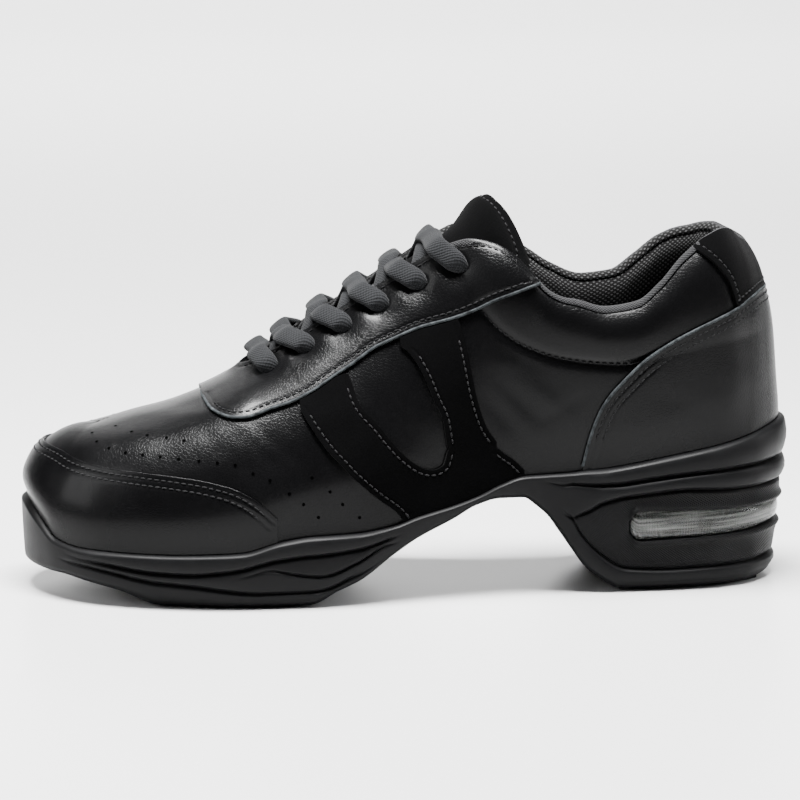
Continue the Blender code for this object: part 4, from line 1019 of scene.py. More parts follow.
counterSizes = {"first": 0.716, "columns": 170, "rows": 50, "seams": (0.0021, 0.0044),
                "footSeams": ()}
heelTabSizes = {"first": 0.862, "columns": 170, "rows": 30, "seams": (), "footSeams": (0.0021,),
                "gap": 0.0004}


def buildHeelPanel(name, sizes, foot, top, look, node, paleEdge):
    angles = heelAngles(sizes["first"], sizes["columns"])
    spots, normals = panelRound(angles, foot, top, sizes["rows"])
    seams = []
    for row, inner, insets in ((-1, -6, sizes["seams"]), (0, 5, sizes["footSeams"])):
        edge, edgeNormal = spots[:, row], normals[:, row]
        for inset in insets:
            inset = seamInside(edge, edgeNormal, spots[:, inner], inset)
            seams.append(offsetLine(edge, edgeNormal, inset))
            keepStitches(*ontoPanel(seams[-1][3:-3], spots, normals))
    spots = seamGroove(spots, normals, seams)
    piece = gridPiece(name, spots, measured(spots), (look,), normals)
    thicken(piece, panelSizes["thickness"], rim=0)
    if paleEdge:
        cutEdge(name.replace("_leather", "_cut_edge"), spots[:, -1], normals[:, -1])
    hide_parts(node)


def tabFoot(side, along):
    height = max(read(heelTabRows, 1, along), read(counterRows, 1, along))
    return height * last["collar"] + heelTabSizes["gap"]


buildHeelPanel("counter_leather", counterSizes, rimHeight, edgeHeight(counterRows), trimLeather,
               "counter", True)
buildHeelPanel("heel_tab_suede", heelTabSizes, tabFoot, None, blackSuede, "heel_tab",
               False)

# stations of the saddle: where its window closes, where its two legs part and join
saddleSizes = {"columns": 420, "rows": 56, "from": 0.353, "to": 0.64, "legs": 0.482,
               "windowEnd": 0.5404, "joined": 0.603, "frontSeamEnd": 0.492, "windowFrom": 0.414,
               "windowBackFrom": 0.493, "backSeamFrom": 0.556, "seam": 0.0019, "leastGap": 0.0004,
               "weld": 0.00003}


def buildSaddle(side, name):
    sizes = saddleSizes
    lattice = np.unique(np.round(np.concatenate([
        np.arange(sizes["from"], sizes["to"], 1 / sizes["columns"]),
        [sizes["to"], sizes["legs"], sizes["joined"], sizes["windowEnd"]]]), 6))
    lattice = lattice[np.concatenate([[True], np.diff(lattice) > sizes["leastGap"]])]
    strips = []
    for rows in (saddleFrontRows, saddleBackRows):
        alongs = lattice[(lattice >= rows[0][0] - 1e-6) & (lattice <= rows[-1][0] + 1e-6)]

        def foot(s, along, rows=rows):
            height = read(rows, 1, along) * last["collar"]
            return max(height, rimHeight(s, along)) if rows is saddleFrontRows else height

        spots, normals = panelSpots(side, side * turnOf(alongs), foot, edgeHeight(rows, 2),
                                    sizes["rows"])
        strips.append((alongs, spots, normals))
    # seams follow the front edge, both edges of the window, and the back edge
    front, back = strips[0][0], strips[1][0]
    end = sizes["windowEnd"] + 1e-6
    seams = []
    for strip, part, row, inner in (
            (0, front < sizes["frontSeamEnd"], 0, 6),
            (0, (front > sizes["windowFrom"]) & (front <= end), -1, -7),
            (1, (back >= sizes["windowBackFrom"]) & (back <= end), 0, 6),
            (1, back > sizes["backSeamFrom"], -1, -7),
            (0, front >= sizes["joined"] - 1e-6, -1, -7)):
        spots, normals = strips[strip][1][part], strips[strip][2][part]
        inset = seamInside(spots[:, row], normals[:, row], spots[:, inner], sizes["seam"])
        seam = offsetLine(spots[:, row], normals[:, row], inset)
        allSpots = np.vstack([strip[1].reshape(-1, 3) for strip in strips])
        allNormals = np.vstack([strip[2].reshape(-1, 3) for strip in strips])
        keepStitches(*ontoPanel(seam[2:-1], allSpots, allNormals))
        seams.append(seam)
    mesh = bmesh.new()
    for alongs, spots, normals in strips:
        shaped = seamGroove(spots, normals, seams)
        half = gridPiece("saddleHalf", shaped, measured(spots), (blackSuede, blackSuede), normals)
        mesh.from_mesh(half.data)
        bpy.data.objects.remove(half)
    bmesh.ops.remove_doubles(mesh, verts=mesh.verts, dist=sizes["weld"])
    piece = asObject(mesh, name, (blackSuede, blackSuede))
    thicken(piece, panelSizes["thickness"], rim=0)
    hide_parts(name.replace("_suede", ""))


buildSaddle(lateral, "saddle_lateral_suede")
buildSaddle(medial, "saddle_medial_suede")
print("panels sewn on")


collarSeamSizes = {"first": 0.588, "last": 0.80, "points": 90, "sink": 0.0004}


def sewCollarSeam():
    # one thread line along the foot of the padded collar
    alongs = np.linspace(collarSeamSizes["first"], collarSeamSizes["last"],
                         collarSeamSizes["points"])
    for side in (lateral, medial):
        angles = side * np.array([float(turnOf(along)) for along in alongs])
        points, normals = skin(angles, padSeamShares(angles))
        keepStitches(points, normals, collarSeamSizes["sink"])


sewCollarSeam()


bindingSizes = {"drop": 0.0020, "reachIn": 0.0022, "puff": 0.0009, "swell": 0.0004,
                "profile": (0.2, 0.9, 1.0, 0.9, 0.6), "arch": 0.0011, "first": 0.548,
                "columns": 330, "tapeRows": 7}


def buildBinding():
    angles = heelAngles(bindingSizes["first"], bindingSizes["columns"])
    lengths = np.interp(abs(angles), ribAngles, ribLengths)
    count = len(bindingSizes["profile"])
    swell = bindingSizes["puff"] + bindingSizes["swell"] * np.array(bindingSizes["profile"])
    sections = []
    for angle, length in zip(angles, lengths):
        shares = 1 - np.linspace(bindingSizes["drop"], 0, count) / length
        outer, outerNormal = skin(angle, shares)
        wall = padDepth(np.array([angle]), shares, np.array([length]))[0]
        inside, insideNormal = skin(
            angle, 1 - np.linspace(bindingSizes["reachIn"], 0, count) / length)
        inner = inside - insideNormal * (wall[-1] + bindingSizes["puff"])
        outer = outer + outerNormal * swell[:, None]
        up = outer[-1] - outer[-2]
        up /= np.linalg.norm(up)
        arch = []
        for k in range(1, count + 1):
            t = k / (count + 1)
            rise = bindingSizes["arch"] * math.sin(math.pi * t)
            arch.append(outer[-1] * (1 - t) + inner[-1] * t + up * rise)
        sections.append(np.vstack([outer, arch, inner[::-1]]))
    spots = np.array(sections)
    facing = spots - spots.mean(axis=1, keepdims=True)
    tape = bindingSizes["tapeRows"]
    for name, rows, look in (("topline_binding", slice(0, tape), bindingTape),
                             ("collar_mesh_rim", slice(tape - 1, None), liningMesh)):
        piece = gridPiece(name, spots[:, rows], measured(spots[:, rows]), (look,), facing[:, rows])


buildBinding()


# along, low, window foot, window top, high, top as shares of the wall; then their depths
grooveRows = (
    (0.0, 0.3, 0.42, 0.47, 0.62, 0.85, 0.0, 0.0, 0.0, 0.0),
    (0.04, 0.50, 0.60, 0.63, 0.74, 0.88, 0.0, 0.0, 0.0, 0.0),
    (0.07, 0.50, 0.59, 0.61, 0.71, 0.88, 0.6, 0.0, 0.0, 0.0),
    (0.11, 0.46, 0.54, 0.56, 0.66, 0.88, 1.0, 0.0, 0.7, 0.0),
    (0.16, 0.38, 0.48, 0.51, 0.60, 0.88, 1.0, 0.0, 1.0, 0.0),
    (0.21, 0.31, 0.43, 0.46, 0.57, 0.88, 1.0, 0.0, 1.0, 0.0),
    (0.26, 0.19, 0.48, 0.51, 0.63, 0.88, 1.0, 0.0, 1.0, 0.0),
    (0.30, 0.12, 0.56, 0.59, 0.70, 0.88, 1.0, 0.4, 1.0, 0.0),
    (0.35, 0.11, 0.40, 0.43, 0.70, 0.88, 1.0, 1.0, 1.0, 0.0),
    (0.385, 0.12, 0.35, 0.38, 0.70, 0.88, 1.0, 1.0, 1.0, 0.0),
    (0.42, 0.18, 0.42, 0.45, 0.69, 0.88, 0.4, 1.0, 1.0, 0.0),
    (0.455, 0.18, 0.52, 0.55, 0.67, 0.88, 0.0, 0.6, 0.8, 0.0),
    (0.48, 0.18, 0.42, 0.48, 0.66, 0.88, 0.0, 0.0, 0.0, 0.0),
    (0.66, 0.30, 0.38, 0.42, 0.50, 0.84, 0.0, 0.0, 0.0, 0.0),
    (0.69, 0.36, 0.39, 0.41, 0.44, 0.82, 0.0, 0.0, 0.0, 0.6),
    (0.704, 0.40, 0.405, 0.41, 0.415, 0.86, 0.9, 0.0, 0.9, 1.0),
    (0.709, 0.34, 0.40, 0.43, 0.48, 0.86, 1.0, 0.0, 1.0, 1.0),
    (0.725, 0.27, 0.40, 0.46, 0.60, 0.86, 1.0, 0.0, 1.0, 1.0),
    (0.745, 0.21, 0.38, 0.50, 0.70, 0.86, 1.0, 0.0, 1.0, 1.0),
    (0.772, 0.13, 0.37, 0.57, 0.73, 0.85, 1.0, 0.0, 1.0, 1.0),
    (0.782, 0.12, 0.345, 0.60, 0.73, 0.85, 1.0, 0.0, 1.0, 1.0),
    (0.84, 0.10, 0.335, 0.565, 0.72, 0.84, 1.0, 0.0, 1.0, 1.0),
    (0.91, 0.10, 0.325, 0.52, 0.66, 0.81, 1.0, 0.0, 1.0, 1.0),
    (1.0, 0.10, 0.31, 0.46, 0.59, 0.75, 1.0, 0.0, 1.0, 1.0))

soleSizes = {"columns": 720, "grooveDepth": 0.0012, "grooveWidth": 0.0005,
             "ringBulge": 0.0013, "skirt": 0.0026, "windowDepth": 0.0052,
             "windowStart": 0.778, "windowRound": 0.014, "windowEdge": 0.0007,
             "windowRidge": 0.0010, "ridgeWidth": 0.0011, "ribbedFrom": 0.708,
             "ribbedInset": 0.02, "heelFrom": 0.70, "foreFrom": 0.05, "foreTo": 0.47,
             "zoneEase": 0.04, "grooveShare": 0.05, "underRise": 0.004,
             "tuckPower": 1.6, "lipRound": 0.0012, "noseRound": 0.0012, "noseReach": 0.06,
             "footRound": 0.0022, "roundPower": 2.2}


def wallInset(along, foot, lip, at):
    # how far the wall stands in from the outline, over shares of its height
    wall = lip - foot
    tuck = read(tuckRows, 1, along) * last["ball"]
    inset = tuck * np.clip(1 - at, 0, 1.1) ** soleSizes["tuckPower"]
    row = [float(read(grooveRows, i, along)) for i in range(1, 10)]
    low, windowFoot, windowTop, high, top = row[:5]
    depths = row[5:]
    lines = ((low, depths[0]), (windowFoot, depths[1]), (high, depths[2]), (top, depths[3]))
    width = min(soleSizes["grooveWidth"], soleSizes["grooveShare"] * wall)
    for level, depth in lines:
        inset = inset + depth * soleSizes["grooveDepth"] * np.exp(
            -((at - level) * wall / width) ** 2)
    heel, foreStart, foreEnd = (float(np.clip(gone / soleSizes["zoneEase"], 0, 1)) for gone in (
        along - soleSizes["heelFrom"], along - soleSizes["foreFrom"],
        soleSizes["foreTo"] - along))
    fore = foreStart * foreEnd
    # the wall swells between its grooves
    for zone, edges, amounts in ((heel, (0.0, low, high, top, 1.0), (0.9, 0.25, 1.1, 1.0)),
                                 (fore, (0.0, low, high, 1.0), (0.2, 0.4, 0.6))):
        for a, b, amount in zip(edges, edges[1:], amounts):
            t = np.clip((at - a) / max(b - a, 1e-3), 0, 1)
            inset = inset - zone * amount * soleSizes["ringBulge"] * np.sin(np.pi * t)
    start = soleSizes["windowStart"]
    marks = np.zeros_like(at)
    if along > soleSizes["ribbedFrom"]:
        inside = ((at > low + soleSizes["ribbedInset"])
                  & (at < high - soleSizes["ribbedInset"]))
        marks = inside * heel
    if along > start:
        middle = (windowFoot + windowTop) / 2
        half = (windowTop - windowFoot) / 2
        ease = min(1.0, (along - start) / soleSizes["windowRound"])
        half = half * math.sqrt(1 - (1 - ease) ** 2)
        gap = (half - abs(at - middle)) * wall
        sunk = np.clip(gap / soleSizes["windowEdge"], 0, 1) ** 0.7
        inset = inset + soleSizes["windowDepth"] * sunk
        ridge = np.exp(-((abs(at - middle) - half) * wall / soleSizes["ridgeWidth"] - 0.9) ** 2)
        inset = inset - soleSizes["windowRidge"] * ridge
    return inset, marks


# rows of the wall gather round each groove, at its foot and under its lip
grooveSteps = np.array([-1.5, -0.9, -0.5, -0.25, 0.0, 0.25, 0.5, 0.9, 1.5]) * 0.001
edgeSteps = np.array([0.0, 0.25, 0.6, 1.1, 1.8, 2.6]) * 0.001
# along, how far the wall reaches down beside the tread pads
skirtRows = ((0.0, 0.0), (0.12, 0.0), (0.172, 1.0), (0.36, 1.0), (0.40, 0.0), (0.735, 0.0),
             (0.772, 1.0), (0.965, 1.0), (1.0, 0.8))


def skirtAt(along):
    return float(read(skirtRows, 1, along)) * soleSizes["skirt"]


def wallSteps(along, foot, lip):
    wall = lip - foot
    levels = [float(read(grooveRows, i, along)) for i in range(1, 6)]
    bottom = -skirtAt(along) / wall
    steps = [bottom + edgeSteps / wall, 1 - edgeSteps / wall]
    for level in levels:
        steps.append(level + grooveSteps / wall)
    for a, b in zip([bottom] + levels, levels + [1.0]):
        steps.append(np.linspace(a, b, 6)[1:-1])
    return np.sort(np.clip(np.concatenate(steps), bottom, 1))


def buildSole():
    angles = np.linspace(-math.pi, math.pi, soleSizes["columns"] + 1)
    grid, marks = [], []
    for angle in angles:
        side = lateral if angle < 0 else medial
        along = float(alongOf(angle))
        start, direction, run = ribLine(side, along)
        foot, lip, bed = undersideAt(along), rimAt(along), footbedAt(along)
        station = float(spineStation(along))
        footMid, bedMid = undersideAt(station) - skirtAt(station), footbedAt(station)
        wallAt = wallSteps(along, foot, lip)
        inset, mark = wallInset(along, foot, lip, wallAt)
        heights = foot + wallAt * (lip - foot)
        low = heights[0]
        # the foot and the lip are rounded over
        lipRound = soleSizes["lipRound"] + soleSizes["noseRound"] * math.exp(
            -(along / soleSizes["noseReach"]) ** 2)
        for radius, away in ((soleSizes["footRound"], heights - low),
                             (lipRound, (1 - wallAt) * (lip - foot))):
            rounded = np.clip(1 - away / radius, 0, 1) ** soleSizes["roundPower"]
            inset = inset + radius * rounded
        rows = [(run, footMid)]
        rows += [(run * share, low + (footMid - low) * share) for share in (0.66, 0.33)]
        rows += [(inset[0] + soleSizes["underRise"], low), *zip(inset, heights)]
        seat = last["lip"] - last["gap"]
        rows += [(seat * 0.75, lip + 0.00005), (seat, lip - 0.0003), (seat, bed),
                 (seat + (run - seat) * 0.5, (bed + bedMid) / 2), (run, bedMid)]
        column = []
        for reach, height in rows:
            plan = start + direction * min(reach, run)
            column.append((plan[0], plan[1], height))
        grid.append(column)
        marks.append([0] * 4 + list(mark) + [0] * 5)
    grid = np.array(grid)
    piece = gridPiece("sole_moulded", grid, measured(grid), (soleRubber,), weld=True,
                      marks=np.array(marks))
    closeEnds(piece)
    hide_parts("sole")
    return piece


buildSole()

cushionSizes = {"startGap": 0.0012, "columns": 200, "round": 24, "inset": 0.0009,
                "bulge": 0.0011, "lip": 0.0012, "depth": 0.0046, "ribs": 0.0011}
# name, look, how far in its front stands, how much lower than the window, depth of the ribs
cushionLayers = (
    ("heel_cushion_gel", clearGel, cushionSizes["inset"], 0.00035, 0.0),
    ("heel_cushion_ribs", gelRibs, cushionSizes["inset"] + 0.0016, 0.0007, 0.00008))


def windowEdges(along):
    foot, lip = undersideAt(along), rimAt(along)
    low, high = float(read(grooveRows, 2, along)), float(read(grooveRows, 3, along))
    start = soleSizes["windowStart"]
    ease = min(1.0, max(0.0, (along - start) / soleSizes["windowRound"]))
    middle, half = (low + high) / 2, (high - low) / 2 * math.sqrt(1 - (1 - ease) ** 2)
    return foot + (middle - half) * (lip - foot), foot + (middle + half) * (lip - foot), foot, lip


def buildCushion():
    angles = heelAngles(soleSizes["windowStart"] + cushionSizes["startGap"],
                        cushionSizes["columns"])
    for name, look, front, shrink, ribs in cushionLayers:
        grid = []
        run = 0.0
        before = None
        for angle in angles:
            side = lateral if angle < 0 else medial
            along = float(alongOf(angle))
            start, direction, size = ribLine(side, along)
            if before is not None:
                run += float(np.hypot(*(start - before)))
            before = start
            a, b, foot, lip = windowEdges(along)
            middle, half = (a + b) / 2, max((b - a) / 2 - shrink, 0.0002)
            tuck = read(tuckRows, 1, along) * last["ball"]
            flute = ribs * (0.5 + 0.5 * math.cos(math.tau * run / cushionSizes["ribs"]))
            column = []
            for t in np.linspace(0, 2 * math.pi, cushionSizes["round"] + 1):
                # closed section: rounded front towards outside, flat back
                depth = math.sin(t)
                height = middle - math.cos(t) * half
                share = (height - foot) / (lip - foot)
                inset = tuck * max(0.0, 1 - share) ** soleSizes["tuckPower"] + front
                if depth >= 0:
                    inset -= cushionSizes["bulge"] * depth ** 0.6 - flute * depth
                    inset += cushionSizes["lip"] * (1 - depth ** 0.5)
                else:
                    inset += cushionSizes["lip"] + (-depth) ** 0.5 * (
                        cushionSizes["depth"] - front - cushionSizes["lip"])
                plan = start + direction * inset
                column.append((plan[0], plan[1], height))
            column[-1] = column[0]
            grid.append(column)
        grid = np.array(grid)
        piece = gridPiece(name, grid, measured(grid), (look,), weld=True)
        closeEnds(piece)
        if ribs == 0.0:
            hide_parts("heel_cushion")


buildCushion()
print("sole and cushion made")


insoleSizes = {"thickness": 0.003, "cup": 0.0012, "hollow": 0.00036, "columns": 360, "rows": 26,
               "cloth": 0.0024, "edge": 0.0004}


def buildInsole():
    angles = np.linspace(-math.pi, math.pi, insoleSizes["columns"] + 1)
    edge = last["lip"] + last["wall"] + 2 * last["gap"]
    grid = []
    for angle in angles:
        side = lateral if angle < 0 else medial
        along = float(alongOf(angle))
        start, direction, run = ribLine(side, along)
        bed, bedMid = footbedAt(along), footbedAt(float(spineStation(along)))
        column = []
        for share in np.linspace(0, 1, insoleSizes["rows"] + 1):
            inset = edge + (run - edge) * share
            height = bed + (bedMid - bed) * inset / run + last["gap"] + insoleSizes["thickness"]
            height += insoleSizes["cup"] * max(0.0, 1 - share * 3) ** 2
            height -= insoleSizes["hollow"] * min(1.0, share * 2)
            plan = start + direction * inset
            column.append((plan[0], plan[1], height))
        grid.append(column)
    grid = np.array(grid)
    upwards = np.array([0, 0, 1.0]) + 0 * grid
    piece = gridPiece("insole_cloth", grid, grid[..., :2], (insoleCloth,), upwards, weld=True)
    thicken(piece, insoleSizes["cloth"], insoleSizes["edge"], rim=0)
    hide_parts("insole")


buildInsole()


# along, middle height, half width, drop at the edge, sweep share
tongueRows = (
    (0.25, 0.552, 0.15, 0.10, 0.0), (0.30, 0.61, 0.17, 0.11, 0.0), (0.36, 0.695, 0.19, 0.12, 0.0),
    (0.42, 0.782, 0.205, 0.13, 0.05), (0.48, 0.865, 0.215, 0.13, 0.15),
    (0.53, 0.935, 0.225, 0.17, 0.35), (0.565, 0.997, 0.24, 0.23, 0.7),
    (0.582, 1.052, 0.24, 0.28, 0.9), (0.594, 1.078, 0.22, 0.29, 1.02),
    (0.604, 1.083, 0.18, 0.25, 1.1))
tongueSizes = {"first": 0.25, "last": 0.604, "thickness": 0.0042, "sweep": 0.0125,
               "puff": 0.0006, "puffEase": 0.006, "edge": 0.0026, "seamDip": 0.0004,
               "seamWidth": 0.0006, "roll": 0.0014, "tipFrom": 0.585, "tipPull": 0.16,
               "clear": 0.0008, "roundPower": 2.2, "squarePower": 0.9, "squareFrom": 0.55,
               "squareSpan": 0.03, "smoothing": 6, "suedeFrom": 0.475, "cover": 0.0009,
               "coverWall": 0.0008, "coverEdge": 0.0002, "seam": 0.001, "columns": 46,
               "rows": 150}


def insideLining(side, along, sideways, height):
    # a spot of the tongue, drawn in where it would stand outside the lining
    angle = side * float(turnOf(along))
    shares = np.linspace(0, 1, 90)
    face, normals = skin(angle, shares)
    size = np.interp(angle, ribAngles, ribLengths)
    depth = padDepth(np.array([angle]), shares, np.array([size]))[0] + tongueSizes["clear"]
    lining = face - normals * depth[:, None]
    line = np.column_stack([side * lining[:, 1], lining[:, 2]])
    out = np.column_stack([side * normals[:, 1], normals[:, 2]])
    spot = np.array([side * sideways, height])
    nearest = int(np.argmin(np.hypot(*(line - spot).T)))
    if nearest == len(line) - 1 and spot[0] < line[-1][0]:
        return sideways, height
    if np.dot(spot - line[nearest], out[nearest]) <= 0:
        return sideways, height
    return side * line[nearest][0], line[nearest][1]


def tongueTop(along, sideways):
    mid = read(tongueRows, 1, along) * last["collar"]
    half = read(tongueRows, 2, along) * last["ball"]
    drop = read(tongueRows, 3, along) * last["ball"]
    # the section grows squarer towards the free end
    square = float(np.clip((along - tongueSizes["squareFrom"]) / tongueSizes["squareSpan"], 0, 1))
    power = tongueSizes["roundPower"] + tongueSizes["squarePower"] * square
    return mid - drop * (abs(sideways) / half) ** power


def smoothed(line):
    # one pass along the first axis, in place, with the two ends held
    line[1:-1] = line[1:-1] * 0.5 + (line[:-2] + line[2:]) * 0.25


def tongueGrid():
    stations = np.linspace(tongueSizes["first"], tongueSizes["last"], tongueSizes["rows"] + 1)
    shares = np.linspace(-1, 1, tongueSizes["columns"] + 1)
    grid = np.zeros((len(shares), len(stations), 3))
    for j, along in enumerate(stations):
        half = read(tongueRows, 2, along) * last["ball"]
        sweep = read(tongueRows, 4, along) * tongueSizes["sweep"]
        middle = spinePoint(along)
        for i, share in enumerate(shares):
            # the tip's corners are rounded off
            corner = max(0.0, (along - tongueSizes["tipFrom"])
                         / (tongueSizes["last"] - tongueSizes["tipFrom"]))
            pull = 1 - tongueSizes["tipPull"] * corner ** 2 * abs(share) ** 2
            y = middle[1] + share * half * pull
            back = sweep * abs(share) ** 1.6
            station = along + back / last["length"]
            z = tongueTop(along, share * half)
            y, z = insideLining(lateral if share < 0 else medial, station, y, z)
            grid[i, j] = (middle[0] + back, y, z)
    for turn in range(tongueSizes["smoothing"]):
        smoothed(grid)
        smoothed(grid.swapaxes(0, 1))
    across = np.gradient(grid, axis=0)
    normals = np.cross(across, np.gradient(grid, axis=1))
    normals /= np.linalg.norm(normals, axis=2)[:, :, None]
    if normals[23, 40, 2] < 0:
        normals = -normals
    return stations, shares, grid, normals


def buildTongue():
    stations, shares, grid, normals = tongueGrid()
    half = np.array([read(tongueRows, 2, along) * last["ball"] for along in stations])
    fromEdge = (1 - abs(shares))[:, None] * half[None, :]
    fromTip = (stations[-1] - stations)[None, :] * last["length"] * 1.6 + 0 * fromEdge
    gap = np.minimum(fromEdge, fromTip)
    inside = gap - tongueSizes["edge"]
    swell = tongueSizes["puff"] * np.clip(inside / tongueSizes["puffEase"], 0, 1)
    dip = tongueSizes["seamDip"] * np.exp(-(inside / tongueSizes["seamWidth"]) ** 2)
    spots = grid + normals * (swell - dip)[..., None]
    piece = gridPiece("tongue_padded", spots, measured(spots), (trimLeather, liningMesh), normals)
    solid = piece.modifiers.new("padding", "SOLIDIFY")
    solid.thickness = tongueSizes["thickness"]
    solid.offset = -1
    solid.material_offset = 1
    solid.material_offset_rim = 0
    soft = piece.modifiers.new("roll", "BEVEL")
    soft.width = tongueSizes["roll"]
    soft.segments = 4
    soft.limit_method = "ANGLE"
    soft.angle_limit = edgeAngle
    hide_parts("tongue")
    # suede cover on the free end, sewn on round its edge
    keep = stations >= tongueSizes["suedeFrom"]
    upwards = normals[1:-1][:, keep]
    cover = spots[1:-1][:, keep] + upwards * tongueSizes["cover"]
    suede = gridPiece("tongue_suede_top", cover, measured(cover), (blackSuede, blackSuede), upwards)
    thicken(suede, tongueSizes["coverWall"], tongueSizes["coverEdge"], rim=0)
    begin, tip, far = int(np.argmax(keep)) + 2, len(stations) - 4, len(shares) - 4
    seam = ([(3, k) for k in range(begin, tip + 1)] + [(k, tip) for k in range(3, far + 1)]
            + [(far, k) for k in range(tip, begin, -1)])
    sewn = np.array([normals[spot] for spot in seam])
    keepStitches(np.array([spots[spot] for spot in seam]) + sewn * tongueSizes["seam"], sewn, 0.0)


buildTongue()
print("tongue made")


laceSizes = {"width": 0.0076, "thickness": 0.0031, "steps": 64, "round": 18, "dive": 0.0055,
             "pinch": 0.55, "pinchReach": 0.0042, "smoothing": 5, "rest": 0.0006}


# how the front bar lies at its eyelets: shift forwards, inset, lift
frontBarRows = ((0.0, 0.00837, -0.0002), (0.004, 0.00495, 0.0010), (0.008, 0.001, 0.0014))
# where a crossing starts, how much of it hides under the throat edge, and its rise when it runs
# over the other one; then the rise and shift of the front bar on the middle line
crossingSizes = {"start": 0.004, "hidden": 0.004, "over": 0.0026, "overReach": 0.22,
                 "barRise": 0.0030, "barShift": 0.009}
# share of the way over the tongue, rise there
crossingRows = ((0.3, 0.0010), (0.5, 0.0016), (0.7, 0.0024))
# once it is on the leather: share of the rest of the way, inset, lift
landingRows = ((0.0, 0.0002, 0.0018), (0.52, 0.0045, 0.0012), (1.0, 0.0081, 0.0))


def laceSeat(side, along, inset, extra=0.0):
    point, normal = skin(*eyeletShare(side, along, inset))
    lift = panelSizes["lift"] + laceSizes["thickness"] / 2 + extra
    return point + normal * lift, normal


def overTongue(along, sideways, extra=0.0):
    middle = spinePoint(along)
    return np.array([middle[0], middle[1] + sideways,
                     tongueTop(along, sideways) + laceSizes["thickness"] / 2
                     + laceSizes["rest"] + extra])


def sweepLace(name, points, normals, pinches):
    points, normals = np.array(points, float), np.array(normals, float)
    chord = np.concatenate([[0], np.cumsum(np.linalg.norm(np.diff(points, axis=0), axis=1))])
    at = np.linspace(0, chord[-1], laceSizes["steps"] + 1)
    line = np.column_stack([easedCurve(chord, points[:, k], at) for k in range(3)])
    tilt = np.column_stack([easedCurve(chord, normals[:, k], at) for k in range(3)])
    for turn in range(laceSizes["smoothing"]):
        smoothed(line)
        smoothed(tilt)
    ahead = np.gradient(line, axis=0)
    ahead /= np.linalg.norm(ahead, axis=1)[:, None]
    grid = np.zeros((len(line), laceSizes["round"] + 1, 3))
    for i, (point, forward, up) in enumerate(zip(line, ahead, tilt)):
        sideways = np.cross(forward, up)
        sideways /= np.linalg.norm(sideways)
        flat = np.cross(sideways, forward)
        squeeze, thick = 1.0, 1.0
        for end in pinches:
            gap = abs(at[i] - (0 if end == 0 else chord[-1]))
            near = math.exp(-(gap / laceSizes["pinchReach"]) ** 2)
            squeeze *= 1 - (1 - laceSizes["pinch"]) * near
            thick *= 1 + 0.5 * near
        for k in range(laceSizes["round"] + 1):
            angle = math.tau * k / laceSizes["round"]
            c, s = math.cos(angle), math.sin(angle)
            wide = math.copysign(abs(c) ** 0.85, c) * laceSizes["width"] / 2 * squeeze
            high = math.copysign(abs(s) ** 0.75, s) * laceSizes["thickness"] / 2 * thick
            grid[i, k] = point + sideways * wide + flat * high
    length = np.linspace(0, chord[-1], len(line))
    rim = np.linspace(0, 2 * (laceSizes["width"] + laceSizes["thickness"]), laceSizes["round"] + 1)
    uv = np.stack(np.meshgrid(rim, length), axis=2)
    piece = gridPiece(name, grid, uv, (laceWeave,), weld=True)
    closeEnds(piece)
    return piece


def diveInto(side, along, points, normals):
    # down through the eyelet, towards the inside
    spot, normal = skin(*eyeletShare(side, along, eyeletRow["inset"]))
    before = points[-1]
    points.append(spot + normal * laceSizes["rest"] + (spot - before) * 0.12)
    ahead = (spot - before) / max(np.linalg.norm(spot - before), 1e-6)
    normals.append(normals[-1] * 0.6 + ahead)
    points.append(spot - normal * laceSizes["dive"] * 0.8)
    normals.append(normals[-1])


def buildLaces():
    up = np.array([-0.5, 0.0, 0.85])
    front = eyeletRow["along"][0]
    ends = {}
    for side in (lateral, medial):
        seat = [laceSeat(side, front - shift, inset, extra)
                for shift, inset, extra in reversed(frontBarRows)]
        spots, tilts = [p for p, n in seat], [n for p, n in seat]
        diveInto(side, front, spots, tilts)
        ends[side] = (spots, tilts)
    middle = overTongue(front - crossingSizes["barShift"], 0.0, crossingSizes["barRise"])
    points = ends[lateral][0][::-1] + [middle] + ends[medial][0]
    normals = ends[lateral][1][::-1] + [up] + ends[medial][1]
    piece = sweepLace("lace_front_bar", points, normals, (0, 1))
    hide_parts("lace_bar_front")
    stations = eyeletRow["along"]
    for index in range(len(stations) - 1):
        first, final = stations[index] + crossingSizes["start"], stations[index + 1]
        for side in (lateral, medial):
            # the two sides take turns to run on top
            over = crossingSizes["over"] if (side == medial) == (index % 2 == 0) else 0.0
            gap = read(topRows, 1, first) * last["ball"]
            points = [overTongue(first - crossingSizes["hidden"], side * (gap + 0.002), -0.0032),
                      overTongue(first, side * (gap - laceSizes["width"] * 0.45), -0.0002)]
            normals = [up, up]
            for share, extra in crossingRows:
                along = first + (final - first) * share * 0.55
                rise = extra + over * math.exp(-((share - 0.5) / crossingSizes["overReach"]) ** 2)
                points.append(overTongue(along, side * gap * (1 - 2 * share) * 0.85, rise))
                normals.append(up)
            along = first + (final - first) * 0.52
            for share, inset, extra in landingRows:
                station = along + (final - along) * share
                spot, normal = laceSeat(-side, station, inset, extra)
                points.append(spot)
                normals.append(normal)
            diveInto(-side, final, points, normals)
            name = "lace_cross_%d_%s" % (index + 1, "over" if over else "under")
            piece = sweepLace(name, points, normals, (1,))
            if not over:
                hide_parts("lace_cross_%d" % (index + 1))


buildLaces()
print("laces threaded")


stitches = asObject(seamWork, "seam_stitches", (thread,))
